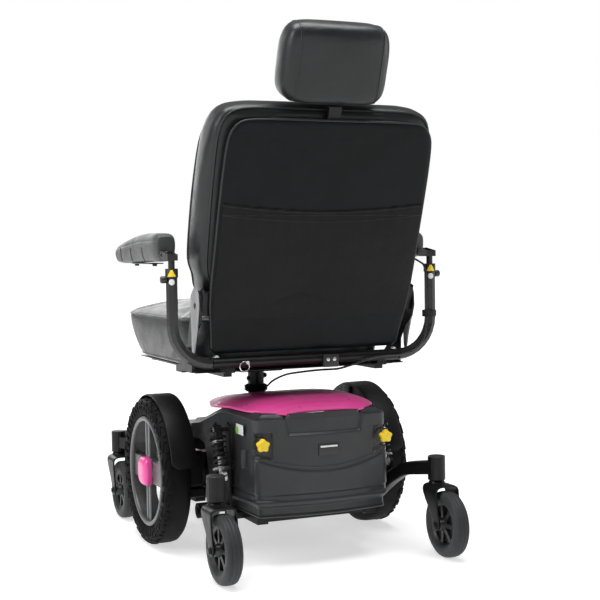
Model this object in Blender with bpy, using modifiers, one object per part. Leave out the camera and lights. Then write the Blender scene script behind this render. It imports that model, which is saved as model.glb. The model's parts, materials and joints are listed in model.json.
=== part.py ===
"""Mid-wheel-drive power wheelchair: six wheels, a battery base and a reclining captain's seat.

Metres, +Z up. The chair faces -Y and +X is its left side. Shapes are written in the chair's own
frame, whose origin is on the floor under the drive axle, and one empty moves them all so that
the middle of the chair's length is at y = 0.
"""
import math

import bmesh
import bpy
from mathutils import Matrix, Vector

# Wheels
WHEEL_RADIUS = 0.178
WHEEL_X = 0.2825
TYRE_WIDTH = 0.068
RIM_RADIUS = 0.132
CASTER_RADIUS = 0.076
CASTER_WIDTH = 0.038
CASTER_TRAIL = 0.047
FRONT_BARREL = (0.276, -0.368)
REAR_BARREL = (0.272, 0.398)
BARREL_LOW = 0.172
BARREL_HIGH = 0.226

# Base
RAIL_INNER_X = 0.122
RAIL_OUTER_X = 0.148
RAIL_LOW = 0.092
RAIL_HIGH = 0.120
DRIVE_PIVOT = (-0.090, 0.105)
REAR_ARM_PIVOT = (0.125, 0.095)
SHOCK_X = 0.208
SHOCK_TOP = (0.230, 0.300)
SHOCK_FOOT = (0.262, 0.198)
POST_Y = -0.050
FOOT_PIVOT = (-0.410, 0.100)
FOOT_FRONT = -0.620

# Seat
PAN_LOW = 0.4340
PAN_HIGH = 0.4365
CROSS_TUBE = (0.280, 0.4575)
LOCK_PIN_X = 0.156
CUSHION_TOP = 0.568
RECLINE_PIVOT = (0.275, 0.588)
RECLINE_LEAN = math.radians(19.66)
ARM_X = 0.325
ARM_TUBE_RADIUS = 0.0135
ARM_BEND = 0.090
ARM_TUBE_TOP = 0.672
PAD_PIVOT = (0.240, 0.703)
PAD_INNER_X = 0.291
PAD_OUTER_X = 0.347

GAP = 0.0003
REAR_END = REAR_BARREL[1] + CASTER_TRAIL + CASTER_RADIUS
LENGTH_SHIFT = -(FOOT_FRONT + REAR_END) / 2

NO_TURN = Matrix.Identity(4)
SIDES = (("left", 1), ("right", -1))


# ---------------------------------------------------------------- scene, materials and placing

for old in list(bpy.data.objects):
    bpy.data.objects.remove(old)


def new_collection(name):
    collection = bpy.data.collections.new(name)
    bpy.context.scene.collection.children.link(collection)
    return collection


parts = new_collection("power_wheelchair")
tools = new_collection("cutters_and_joins")

chair = bpy.data.objects.new("chair", None)
chair.location = (0.0, LENGTH_SHIFT, 0.0)
parts.objects.link(chair)


def surface(name, color, roughness, metallic=0.0):
    material = bpy.data.materials.new(name)
    material.use_nodes = True
    shader = material.node_tree.nodes["Principled BSDF"]
    shader.inputs["Base Color"].default_value = (*color, 1.0)
    shader.inputs["Roughness"].default_value = roughness
    shader.inputs["Metallic"].default_value = metallic
    return material


BLACK_PAINT = surface("black_paint", (0.02, 0.02, 0.02), 0.4, 0.3)
SHELL_PLASTIC = surface("shell_plastic", (0.04, 0.04, 0.043), 0.5)
PINK_GLOSS = surface("pink_gloss", (0.60, 0.03, 0.20), 0.2)
TYRE_RUBBER = surface("tyre_rubber", (0.015, 0.015, 0.016), 0.8)
RIM_GREY = surface("rim_grey", (0.13, 0.13, 0.135), 0.4, 0.5)
CASTER_GREY = surface("caster_grey", (0.06, 0.06, 0.063), 0.6)
YELLOW = surface("yellow_plastic", (0.80, 0.62, 0.03), 0.4)
VINYL = surface("black_vinyl", (0.022, 0.023, 0.024), 0.45)
POCKET = surface("pocket_fabric", (0.02, 0.02, 0.022), 0.85)
PAD_PU = surface("pad_urethane", (0.05, 0.05, 0.052), 0.55)
STEEL = surface("bright_steel", (0.55, 0.55, 0.56), 0.3, 1.0)
LIGHT_GREY = surface("light_grey_paint", (0.45, 0.45, 0.46), 0.45)
BLACK_PLASTIC = surface("black_plastic", (0.02, 0.02, 0.02), 0.45)
BATTERY_CASE = surface("battery_case", (0.05, 0.05, 0.055), 0.6)
CAST_ALUMINIUM = surface("cast_aluminium", (0.35, 0.35, 0.36), 0.5, 0.9)
CABLE_JACKET = surface("cable_jacket", (0.015, 0.015, 0.015), 0.5)


def hang(obj, parent):
    """Parents an object without moving it: its own matrix stays in the chair's frame."""
    obj.parent = parent
    if parent != chair:
        obj.matrix_parent_inverse = parent.matrix_basis.inverted()


def axis_empty(name, point, parent=chair, lean=0.0):
    """An empty on a joint's axis, which carries everything that moves with that joint."""
    empty = bpy.data.objects.new(name, None)
    empty.matrix_basis = Matrix.Translation(point) @ Matrix.Rotation(lean, 4, "X")
    parts.objects.link(empty)
    hang(empty, parent)
    return empty


def piece(name, shape, material, parent=chair):
    """Turns a finished shape into a visible, named piece of the chair."""
    tools.objects.unlink(shape)
    parts.objects.link(shape)
    shape.name = name
    shape.data.name = name
    shape.data.materials.append(material)
    shape.hide_render = False
    shape.display_type = "TEXTURED"
    hang(shape, parent)
    return shape


# ---------------------------------------------------------------- shapes

def as_tool(data, place):
    shape = bpy.data.objects.new("tool", data)
    tools.objects.link(shape)
    shape.matrix_basis = place
    shape.hide_render = True
    shape.display_type = "WIRE"
    hang(shape, chair)
    return shape


def face_outward(bm):
    bmesh.ops.recalc_face_normals(bm, faces=bm.faces)
    if bm.calc_volume(signed=True) < 0:
        bmesh.ops.reverse_faces(bm, faces=bm.faces)


def from_bmesh(bm, place=NO_TURN):
    mesh = bpy.data.meshes.new("shape")
    face_outward(bm)
    bm.to_mesh(mesh)
    bm.free()
    mesh.shade_smooth()
    mesh.set_sharp_from_angle(angle=math.radians(35))
    return as_tool(mesh, place)


def soften(shape, width, segments=1):
    bevel = shape.modifiers.new("Soft edges", "BEVEL")
    bevel.width = width
    bevel.segments = segments
    return shape


def block(corner, opposite, edge=0.0, segments=1, place=NO_TURN):
    """A box between two opposite corners, given in any order."""
    low = Vector(min(a, b) for a, b in zip(corner, opposite))
    high = Vector(max(a, b) for a, b in zip(corner, opposite))
    bm = bmesh.new()
    bmesh.ops.create_cube(bm, size=1.0)
    bmesh.ops.scale(bm, vec=high - low, verts=bm.verts)
    bmesh.ops.translate(bm, vec=(low + high) / 2, verts=bm.verts)
    shape = from_bmesh(bm, place)
    if edge:
        soften(shape, edge, segments)
    return shape


def rod(start, end, radius, sides=12, end_radius=None, place=NO_TURN):
    start, end = Vector(start), Vector(end)
    axis = end - start
    turn = Vector((0, 0, 1)).rotation_difference(axis).to_matrix().to_4x4()
    bm = bmesh.new()
    bmesh.ops.create_cone(bm, cap_ends=True, segments=sides, radius1=radius,
                          radius2=radius if end_radius is None else end_radius,
                          depth=axis.length)
    bm.transform(Matrix.Translation((start + end) / 2) @ turn)
    return from_bmesh(bm, place)


def turned(profile, centre, axis, steps=32, ring=False, place=NO_TURN):
    """A turned solid. The profile is (radius, height) pairs, down the outer side."""
    points = [(radius, 0.0, height) for radius, height in profile]
    edges = [(i, i + 1) for i in range(len(points) - 1)]
    if ring:
        edges.append((len(points) - 1, 0))
    mesh = bpy.data.meshes.new("profile")
    mesh.from_pydata(points, edges, [])
    turn = Vector((0, 0, 1)).rotation_difference(Vector(axis)).to_matrix().to_4x4()
    shape = as_tool(mesh, place @ Matrix.Translation(centre) @ turn)
    screw = shape.modifiers.new("Turn", "SCREW")
    screw.steps = screw.render_steps = steps
    screw.use_merge_vertices = True
    screw.merge_threshold = 0.00005
    return shape


def loft(sections, place=NO_TURN):
    """A solid through loops that have the same number of points, closed at both ends."""
    bm = bmesh.new()
    rings = [[bm.verts.new(point) for point in section] for section in sections]
    count = len(rings[0])
    for near, far in zip(rings, rings[1:]):
        for i in range(count):
            j = (i + 1) % count
            bm.faces.new((near[i], near[j], far[j], far[i]))
    bm.faces.new(rings[0])
    bm.faces.new(rings[-1])
    return from_bmesh(bm, place)


def sheet(rows, thickness, place=NO_TURN):
    """A shell of even thickness about a grid of points."""
    bm = bmesh.new()
    grid = [[bm.verts.new(point) for point in row] for row in rows]
    for near, far in zip(grid, grid[1:]):
        for i in range(len(near) - 1):
            bm.faces.new((near[i], near[i + 1], far[i + 1], far[i]))
    shape = from_bmesh(bm, place)
    wall = shape.modifiers.new("Wall", "SOLIDIFY")
    wall.thickness = thickness
    wall.offset = 0.0
    return shape


def beam(centres, width, height):
    """A bar of rectangular section along a path, its sides upright."""
    centres = [Vector(point) for point in centres]
    sections = []
    for i, point in enumerate(centres):
        along = centres[min(i + 1, len(centres) - 1)] - centres[max(i - 1, 0)]
        across = along.cross(Vector((0, 0, 1))).normalized() * width / 2
        up = across.cross(along).normalized() * height / 2
        sections.append([point - across - up, point + across - up,
                         point + across + up, point - across + up])
    return loft(sections)


def curve_mesh(curve, turn=NO_TURN):
    """The curve as a mesh with welded caps."""
    curved = bpy.data.objects.new("curve", curve)
    tools.objects.link(curved)
    bpy.context.view_layer.update()
    evaluated = curved.evaluated_get(bpy.context.evaluated_depsgraph_get())
    mesh = bpy.data.meshes.new_from_object(evaluated)
    bpy.data.objects.remove(curved)
    bm = bmesh.new()
    bm.from_mesh(mesh)
    bmesh.ops.remove_doubles(bm, verts=bm.verts, dist=0.00001)
    bm.transform(turn)
    face_outward(bm)
    bm.to_mesh(mesh)
    bm.free()
    return mesh


def tube_curve(points, radius, roundness):
    curve = bpy.data.curves.new("tube", "CURVE")
    curve.dimensions = "3D"
    curve.bevel_depth = radius
    curve.bevel_resolution = roundness
    curve.use_fill_caps = True
    spline = curve.splines.new("POLY")
    spline.points.add(len(points) - 1)
    for target, point in zip(spline.points, points):
        target.co = (*point, 1.0)
    return curve


def tube(points, radius, roundness=2):
    return as_tool(tube_curve(points, radius, roundness), NO_TURN)


def solid_tube(points, radius, roundness=3):
    return as_tool(curve_mesh(tube_curve(points, radius, roundness)), NO_TURN)


def plate(outline, start, end, place=NO_TURN, upright="X"):
    """A flat plate: an outline in Y and Z from x = start to end, or in X and Z along Y."""
    curve = bpy.data.curves.new("plate", "CURVE")
    curve.dimensions = "2D"
    curve.fill_mode = "BOTH"
    curve.extrude = abs(end - start) / 2
    spline = curve.splines.new("POLY")
    spline.points.add(len(outline) - 1)
    for target, (along, up) in zip(spline.points, outline):
        target.co = (along, up, 0.0, 1.0)
    spline.use_cyclic_u = True
    middle = (start + end) / 2
    if upright == "X":
        turn = Matrix(((0, 0, 1, middle), (1, 0, 0, 0), (0, 1, 0, 0), (0, 0, 0, 1)))
    else:
        turn = Matrix(((1, 0, 0, 0), (0, 0, -1, middle), (0, 1, 0, 0), (0, 0, 0, 1)))
    return as_tool(curve_mesh(curve, turn), place)


def combine(shape, others, operation):
    for other in others:
        boolean = shape.modifiers.new(operation.capitalize(), "BOOLEAN")
        boolean.operation = operation
        boolean.object = other
    return shape


def join(shape, *others):
    return combine(shape, others, "UNION")


def cut(shape, *cutters):
    return combine(shape, cutters, "DIFFERENCE")


# ---------------------------------------------------------------- paths and outlines

def rounded_path(corners, radius, steps=6):
    """The path through the corners, with an arc at each inner one."""
    corners = [Vector(corner) for corner in corners]
    path = [corners[0]]
    for before, corner, after in zip(corners, corners[1:], corners[2:]):
        back = (before - corner).normalized()
        on = (after - corner).normalized()
        half_angle = back.angle(on) / 2
        centre = corner + (back + on).normalized() * radius / math.sin(half_angle)
        first = (corner + back * radius / math.tan(half_angle) - centre).normalized()
        last = (corner + on * radius / math.tan(half_angle) - centre).normalized()
        path += [centre + radius * first.slerp(last, i / steps) for i in range(steps + 1)]
    path.append(corners[-1])
    return path


def smooth_route(points, steps):
    """A smooth curve through the route's own points."""
    points = [Vector(point) for point in points]
    padded = [2 * points[0] - points[1], *points, 2 * points[-1] - points[-2]]
    route = []
    for a, b, c, d in zip(padded, padded[1:], padded[2:], padded[3:]):
        for i in range(steps):
            t = i / steps
            route.append(0.5 * (2 * b + (c - a) * t + (2 * a - 5 * b + 4 * c - d) * t ** 2
                                + (3 * b - a - 3 * c + d) * t ** 3))
    route.append(points[-1])
    return route


def rounded_loop(half_width, front, back, height, sharpness=4.0, count=16):
    """A rounded rectangle in X and Y at one height."""
    middle, half_depth = (front + back) / 2, (back - front) / 2
    loop = []
    for i in range(count):
        angle = 2 * math.pi * (i + 0.5) / count
        c, s = math.cos(angle), math.sin(angle)
        loop.append((half_width * math.copysign(abs(c) ** (2 / sharpness), c),
                     middle + half_depth * math.copysign(abs(s) ** (2 / sharpness), s), height))
    return loop


def blend_between(stations, at):
    """Straight-line value at a place, from rising (place, value) pairs."""
    if at <= stations[0][0]:
        return stations[0][1]
    for (a, low), (b, high) in zip(stations, stations[1:]):
        if at <= b:
            return low + (high - low) * (at - a) / (b - a)
    return stations[-1][1]


# ---------------------------------------------------------------- base

def base_frame():
    frame = block((RAIL_INNER_X, -0.330, RAIL_LOW), (RAIL_OUTER_X, 0.325, RAIL_HIGH))
    joins = [
        block((-RAIL_INNER_X, -0.330, RAIL_LOW), (-RAIL_OUTER_X, 0.325, RAIL_HIGH)),
        block((-0.130, -0.330, 0.096), (0.130, -0.305, 0.116)),
        block((-0.130, 0.300, 0.096), (0.130, 0.322, 0.116)),
        block((-0.130, -0.270, 0.112), (0.130, -0.130, 0.117)),
        block((-0.130, 0.090, 0.112), (0.130, 0.290, 0.117)),
        block((-0.130, POST_Y - 0.035, 0.096), (0.130, POST_Y + 0.035, 0.114)),
        rod((0, POST_Y, 0.100), (0, POST_Y, 0.330), 0.0275, 16),
    ]
    for _, side in SIDES:
        joins += [
            rod((side * 0.140, *DRIVE_PIVOT), (side * 0.199, *DRIVE_PIVOT), 0.008),
            rod((side * 0.140, *REAR_ARM_PIVOT), (side * 0.2245, *REAR_ARM_PIVOT), 0.008),
            block((side * 0.140, 0.206, 0.093), (side * 0.183, 0.244, 0.107)),
            plate([(0.206, 0.093), (0.244, 0.093), (0.240, 0.310), (0.228, 0.316),
                   (0.218, 0.310)], side * 0.1785, side * 0.183),
            rod((side * 0.181, *SHOCK_TOP), (side * 0.223, *SHOCK_TOP), 0.005),
            plate([(-0.418, 0.092), (-0.310, 0.096), (-0.310, 0.114), (-0.402, 0.110),
                   (-0.418, 0.108)], side * 0.044, side * 0.056),
        ]
    joins.append(rod((-0.076, *FOOT_PIVOT), (0.076, *FOOT_PIVOT), 0.005))
    join(frame, *joins)
    cut(frame, rod((0, POST_Y, 0.135), (0, POST_Y, 0.340), 0.0209, 16))
    piece("base_frame", frame, BLACK_PAINT)


def batteries():
    for name, side in SIDES:
        case = block((side * 0.004, 0.096, 0.1205), (side * 0.135, 0.290, 0.2900), 0.004)
        join(case, block((side * 0.020, 0.110, 0.285), (side * 0.120, 0.276, 0.296)),
             rod((side * 0.035, 0.125, 0.290), (side * 0.035, 0.125, 0.304), 0.007, 12),
             rod((side * 0.105, 0.125, 0.290), (side * 0.105, 0.125, 0.304), 0.007, 12))
        piece(f"battery_{name}", case, BATTERY_CASE)


def power_module():
    case = block((-0.085, -0.262, 0.1175), (0.085, -0.138, 0.165), 0.004)
    fins = [block((x, -0.255, 0.160), (x + 0.006, -0.145, 0.182))
            for x in (-0.075 + 0.024 * i for i in range(7))]
    piece("power_module", join(case, *fins), CAST_ALUMINIUM)


SHROUD_PLAN = [(0.197, 0.008), (0.186, 0.090), (0.180, 0.130), (0.170, 0.230), (0.164, 0.330),
               (0.158, 0.354), (0.140, 0.362), (0.070, 0.374), (0.022, 0.379)]
SHROUD_LOW = [(0.008, 0.262), (0.090, 0.250), (0.105, 0.180), (0.130, 0.118), (0.400, 0.112)]
SHROUD_HIGH = [(0.008, 0.296), (0.060, 0.304), (0.110, 0.322), (0.160, 0.340), (0.200, 0.345),
               (0.330, 0.341), (0.400, 0.337)]
SHROUD_TUCK = 0.010


def rear_shroud():
    """The tub round the batteries: a U in plan, tucked in below and open above and below."""
    plan = SHROUD_PLAN + [(-x, y) for x, y in reversed(SHROUD_PLAN)]
    middle = Vector((0.0, 0.150, 0.0))
    rows = []
    for level in (0.0, 0.12, 0.26, 0.60, 1.0):
        row = []
        for x, y in plan:
            low, high = blend_between(SHROUD_LOW, y), blend_between(SHROUD_HIGH, y)
            height = low + (high - low) * level
            tuck = SHROUD_TUCK * max(0.0, 1 - (height - 0.112) / 0.050)
            spot = Vector((x, y, height))
            inward = (middle - Vector((x, y, 0.0))).normalized()
            row.append(spot + inward * tuck)
        rows.append(row)
    piece("rear_shroud", sheet(rows, 0.003), SHELL_PLASTIC)


COVER_HALF_WIDTH = [(-0.100, 0.108), (0.000, 0.142), (0.070, 0.164), (0.130, 0.171),
                    (0.200, 0.165), (0.290, 0.158), (0.330, 0.135), (0.360, 0.085)]
COVER_CROWN = [(-0.100, 0.349), (0.000, 0.364), (0.100, 0.374), (0.200, 0.376), (0.300, 0.366),
               (0.360, 0.352)]
COVER_EDGE = [(-0.100, 0.337), (0.000, 0.346), (0.100, 0.349), (0.200, 0.352), (0.300, 0.348),
              (0.360, 0.345)]


def top_cover():
    rows = []
    for y in (-0.100, 0.000, 0.070, 0.130, 0.200, 0.290, 0.330, 0.360):
        half = blend_between(COVER_HALF_WIDTH, y)
        edge, crown = blend_between(COVER_EDGE, y), blend_between(COVER_CROWN, y)
        row = []
        for i in range(-4, 5):
            across = math.sin(i / 4 * math.pi / 2)
            row.append((across * half, y, edge + (crown - edge) * (1 - abs(across) ** 3)))
        rows.append(row)
    cover = sheet(rows, 0.003)
    cut(cover, rod((0, POST_Y, 0.300), (0, POST_Y, 0.400), 0.026))
    piece("top_cover", cover, PINK_GLOSS)


def front_shroud():
    """A tapered hood over the power module, open below and at the back."""
    def section(half_width, front, height):
        return [(-half_width, -0.108, height), (-half_width, front + 0.030, height),
                (-half_width + 0.030, front, height), (half_width - 0.030, front, height),
                (half_width, front + 0.030, height), (half_width, -0.108, height)]
    outer = loft([section(0.152, -0.318, 0.124), section(0.154, -0.312, 0.200),
                  section(0.150, -0.292, 0.236), section(0.140, -0.270, 0.258)])
    inner = loft([section(0.149, -0.315, 0.110), section(0.151, -0.309, 0.200),
                  section(0.147, -0.289, 0.236), section(0.137, -0.267, 0.2545)])
    opening = block((-0.160, -0.112, 0.100), (0.160, -0.090, 0.340))
    cavity = block((-0.137, -0.120, 0.110), (0.137, -0.100, 0.2545))
    piece("front_shroud", cut(outer, inner, cavity, opening), SHELL_PLASTIC)


def release_knobs():
    for name, side in SIDES:
        centre = (side * 0.152, 0.3655, 0.279)
        axle = axis_empty(f"release_axis_{name}", centre)
        outline = []
        for i in range(20):
            angle = 2 * math.pi * i / 20
            radius = 0.0135 + 0.0018 * math.cos(5 * angle)
            outline.append((centre[0] + radius * math.sin(angle),
                            centre[2] + radius * math.cos(angle)))
        knob = plate(outline, 0.368, 0.380, upright="Y")
        join(knob, rod((centre[0], 0.3645, centre[2]), (centre[0], 0.370, centre[2]), 0.008, 16))
        piece(f"release_knob_{name}", knob, YELLOW, axle)


def base():
    base_frame()
    batteries()
    power_module()
    rear_shroud()
    top_cover()
    front_shroud()
    release_knobs()


# ---------------------------------------------------------------- wheels

def caster(name, side, barrel, parent):
    """A trailing fork that swivels in the arm's barrel, and its wheel."""
    x, y = side * barrel[0], barrel[1]
    axle_y = y + CASTER_TRAIL
    swivel = axis_empty(f"{name}_swivel_axis", (x, y, BARREL_LOW), parent)
    crown = block((x - 0.0325, y - 0.016, 0.157), (x + 0.0325, y + 0.050, 0.168))
    stem = turned([(0.0, 0.213), (0.0110, 0.213), (0.0110, BARREL_LOW - 0.001),
                   (0.0170, BARREL_LOW - 0.001), (0.0170, 0.162), (0.0, 0.162)],
                  (x, y, 0), (0, 0, 1), 16)
    joins = [stem, rod((x - 0.029, axle_y, CASTER_RADIUS), (x + 0.029, axle_y, CASTER_RADIUS),
                       0.0045)]
    for leg in (-1, 1):
        outline = [(y - 0.012, 0.163), (y - 0.010, 0.150), (axle_y - 0.013, 0.076),
                   (axle_y - 0.007, 0.064), (axle_y + 0.007, 0.064), (axle_y + 0.013, 0.076),
                   (y + 0.047, 0.163)]
        joins.append(plate(outline, x + leg * 0.0265, x + leg * 0.0315))
    piece(f"{name}_fork", join(crown, *joins), BLACK_PAINT, swivel)

    axle = axis_empty(f"{name}_axle", (x, axle_y, CASTER_RADIUS), swivel)
    half = CASTER_WIDTH / 2
    profile = [(0.0056, 0.024), (0.018, 0.024), (0.048, 0.012), (0.054, half),
               (CASTER_RADIUS, half - 0.007), (CASTER_RADIUS, -half + 0.007), (0.054, -half),
               (0.048, -0.012), (0.018, -0.024), (0.0056, -0.024)]
    wheel = turned(profile, (x, axle_y, CASTER_RADIUS), (1, 0, 0), 20, ring=True)
    piece(f"{name}_wheel", wheel, CASTER_GREY, axle)


def barrel_shape(side, barrel):
    x, y = side * barrel[0], barrel[1]
    return rod((x, y, BARREL_LOW), (x, y, BARREL_HIGH), 0.0205, 16)


def barrel_bore(side, barrel):
    x, y = side * barrel[0], barrel[1]
    return rod((x, y, BARREL_LOW - 0.004), (x, y, 0.2165), 0.0120, 16)


def drive_wheel(name, side, parent):
    centre = (side * WHEEL_X, 0.0, WHEEL_RADIUS)
    axle = axis_empty(f"drive_axle_{name}", centre, parent)
    out = (side, 0, 0)
    half = TYRE_WIDTH / 2

    tyre = [(RIM_RADIUS + 0.0005, 0.028), (0.140, half - 0.001), (0.160, half), (0.172, 0.029),
            (WHEEL_RADIUS, 0.020), (WHEEL_RADIUS, -0.020), (0.172, -0.029), (0.160, -half),
            (0.140, -half + 0.001), (RIM_RADIUS + 0.0005, -0.028)]
    piece(f"drive_tyre_{name}", turned(tyre, centre, out, 28, ring=True), TYRE_RUBBER, axle)

    rim = turned([(RIM_RADIUS, 0.0275), (RIM_RADIUS, -0.0275), (0.122, -0.0275),
                  (0.122, 0.0275)], centre, out, 28, ring=True)
    hub = turned([(0.0, 0.0225), (0.034, 0.0225), (0.036, 0.018), (0.036, -0.020),
                  (0.026, -0.0405), (0.0, -0.0405)], centre, out, 16)
    x_low, x_high = side * (WHEEL_X + 0.006), side * (WHEEL_X + 0.0205)
    spokes = [block((x_low, -0.0155, WHEEL_RADIUS - 0.1245), (x_high, 0.0155, WHEEL_RADIUS + 0.1245)),
              block((x_low, -0.1240, WHEEL_RADIUS - 0.0270), (x_high, 0.1240, WHEEL_RADIUS + 0.0270))]
    piece(f"drive_rim_{name}", join(rim, hub, *spokes), RIM_GREY, axle)

    cap = block((side * (WHEEL_X + 0.0228), -0.033, WHEEL_RADIUS - 0.034),
                (side * (WHEEL_X + 0.042), 0.033, WHEEL_RADIUS + 0.034), 0.010, 2)
    piece(f"hub_cap_{name}", cap, PINK_GLOSS, axle)


def drive_unit(name, side):
    """Motor, gearbox, fender and front caster arm, which rock together on the base."""
    pivot = axis_empty(f"drive_pivot_{name}", (side * 0.180, *DRIVE_PIVOT))

    gearbox = block((side * 0.172, -0.048, 0.132), (side * 0.236, 0.048, 0.224), 0.010)
    join(gearbox, rod((side * 0.052, 0, WHEEL_RADIUS), (side * 0.180, 0, WHEEL_RADIUS), 0.041, 16),
         rod((side * 0.230, 0, WHEEL_RADIUS), (side * 0.2412, 0, WHEEL_RADIUS), 0.025))
    piece(f"drive_motor_{name}", gearbox, BLACK_PAINT, pivot)

    arm = beam([(side * 0.182, 0.030, 0.112), (side * 0.182, DRIVE_PIVOT[0], 0.108),
                (side * 0.187, -0.165, 0.125), (side * 0.216, -0.238, 0.192),
                (side * FRONT_BARREL[0], FRONT_BARREL[1], 0.199)], 0.026, 0.030)
    saddle = block((side * 0.174, -0.040, 0.110), (side * 0.234, 0.044, 0.1317), 0.002)
    boss = rod((side * 0.163, *DRIVE_PIVOT), (side * 0.197, *DRIVE_PIVOT), 0.019, 16)
    join(arm, saddle, boss, barrel_shape(side, FRONT_BARREL))
    cut(arm, rod((side * 0.150, *DRIVE_PIVOT), (side * 0.210, *DRIVE_PIVOT), 0.0090),
        barrel_bore(side, FRONT_BARREL))
    piece(f"front_arm_{name}", arm, BLACK_PAINT, pivot)

    centre = Vector((0, 0, WHEEL_RADIUS))
    profile = [(0.165, 0.2370), (0.185, 0.2372), (0.1895, 0.2420), (0.1895, 0.2960),
               (0.1865, 0.3010)]
    rows = []
    for i in range(12):
        angle = math.radians(-8 - 14 * i)
        rows.append([centre + Vector((side * x, radius * math.cos(angle),
                                      -radius * math.sin(angle))) for radius, x in profile])
    fender = sheet(rows, 0.003)
    join(fender, block((side * 0.2305, -0.020, 0.2243), (side * 0.2372, 0.020, 0.355)))
    piece(f"fender_{name}", fender, SHELL_PLASTIC, pivot)

    drive_wheel(name, side, pivot)
    caster(f"front_caster_{name}", side, FRONT_BARREL, pivot)


def shock(name, side):
    """A coil-over strut between the base's bracket and the rear arm."""
    top, foot = Vector((side * SHOCK_X, *SHOCK_TOP)), Vector((side * SHOCK_X, *SHOCK_FOOT))
    down = (foot - top).normalized()
    length = (foot - top).length
    across = Vector((0.009, 0, 0))

    top_axis = axis_empty(f"shock_axis_{name}", top)
    body = rod(top + down * 0.006, top + down * 0.062, 0.0120)
    join(body, rod(top - across, top + across, 0.0115),
         rod(top + down * 0.0155, top + down * 0.0195, 0.0200, 16))
    cut(body, rod(top - across * 2, top + across * 2, 0.0058),
        rod(top + down * 0.0205, top + down * 0.070, 0.0066))
    piece(f"shock_body_{name}", body, BLACK_PAINT, top_axis)

    slide_axis = axis_empty(f"shock_slide_{name}", foot, top_axis)
    shaft = rod(top + down * 0.040, foot - down * 0.006, 0.0060)
    join(shaft, rod(foot - across, foot + across, 0.0115),
         rod(top + down * (length - 0.0195), top + down * (length - 0.0155), 0.0200, 16))
    cut(shaft, rod(foot - across * 2, foot + across * 2, 0.0068))
    piece(f"shock_rod_{name}", shaft, STEEL, slide_axis)

    wire, coil_radius, turns, per_turn = 0.0021, 0.0160, 5, 8
    start, end = 0.0195 + wire + GAP, length - 0.0195 - wire - GAP
    lean = Vector((0, 0, 1)).rotation_difference(down)
    coil = []
    for i in range(turns * per_turn + 1):
        angle = 2 * math.pi * i / per_turn
        offset = Vector((coil_radius * math.cos(angle), coil_radius * math.sin(angle),
                         start + (end - start) * i / (turns * per_turn)))
        coil.append(top + lean @ offset)
    piece(f"shock_spring_{name}", tube(coil, wire, 1), BLACK_PAINT, top_axis)


def rear_arm(name, side):
    pivot = axis_empty(f"rear_arm_axis_{name}", (side * SHOCK_X, *REAR_ARM_PIVOT))
    arm = beam([(side * 0.206, 0.118, 0.095), (side * 0.209, 0.200, 0.110),
                (side * 0.225, 0.262, 0.157), (side * 0.240, 0.305, 0.186),
                (side * REAR_BARREL[0], REAR_BARREL[1], 0.199)], 0.025, 0.028)
    boss = rod((side * 0.187, *REAR_ARM_PIVOT), (side * 0.2225, *REAR_ARM_PIVOT), 0.0185, 16)
    lug = plate([(0.244, 0.140), (0.280, 0.160), (0.274, 0.202), (0.262, 0.211),
                 (0.250, 0.202)], side * 0.2190, side * 0.2240)
    pin = rod((side * 0.1965, *SHOCK_FOOT), (side * 0.2210, *SHOCK_FOOT), 0.005)
    join(arm, boss, lug, pin, barrel_shape(side, REAR_BARREL))
    cut(arm, rod((side * 0.180, *REAR_ARM_PIVOT), (side * 0.240, *REAR_ARM_PIVOT), 0.0090),
        barrel_bore(side, REAR_BARREL))
    piece(f"rear_arm_{name}", arm, BLACK_PAINT, pivot)
    caster(f"rear_caster_{name}", side, REAR_BARREL, pivot)


# ---------------------------------------------------------------- seat

def seat_frame(lift):
    frame = block((-0.230, -0.300, PAN_LOW), (0.230, 0.262, PAN_HIGH))
    joins = [
        block((-0.205, -0.286, 0.424), (0.205, -0.262, PAN_LOW + 0.001)),
        block((-0.205, POST_Y - 0.025, 0.410), (0.205, POST_Y + 0.025, PAN_LOW + 0.001)),
        block((-0.055, POST_Y - 0.050, 0.404), (0.055, POST_Y + 0.045, 0.412)),
        rod((0, POST_Y, 0.170), (0, POST_Y, 0.408), 0.0205, 16),
        rod((-0.234, *CROSS_TUBE), (0.234, *CROSS_TUBE), 0.0130, 16),
    ]
    upright = [(0.150, PAN_LOW), (0.236, PAN_LOW), (0.240, 0.492), (0.262, 0.524), (0.298, 0.548),
               (0.308, 0.575), (0.306, 0.605), (0.288, 0.622), (0.262, 0.622), (0.242, 0.606),
               (0.228, 0.560), (0.208, 0.500), (0.150, 0.455)]
    for _, side in SIDES:
        joins += [
            block((side * 0.182, -0.286, 0.424), (side * 0.202, 0.266, PAN_LOW + 0.001)),
            block((side * 0.180, 0.246, 0.434), (side * 0.204, 0.282, 0.462)),
            block((side * 0.225, 0.152, PAN_LOW), (side * 0.2640, 0.254, PAN_HIGH)),
            plate(upright, side * 0.2635, side * 0.2675),
            rod((side * 0.2580, *RECLINE_PIVOT), (side * 0.2720, *RECLINE_PIVOT), 0.0060),
        ]
    joins.append(rod((0.2650, 0.212, 0.4800), (0.2760, 0.212, 0.4800), 0.0040))
    join(frame, *joins)
    cutters = [rod((side * 0.110, *CROSS_TUBE), (side * 0.240, *CROSS_TUBE), 0.0101, 16)
               for _, side in SIDES]
    cutters.append(rod((LOCK_PIN_X, 0.2715, CROSS_TUBE[1]), (LOCK_PIN_X, 0.297, CROSS_TUBE[1]), 0.0046))
    cut(frame, *cutters)
    piece("seat_frame", frame, BLACK_PAINT, lift)


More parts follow.
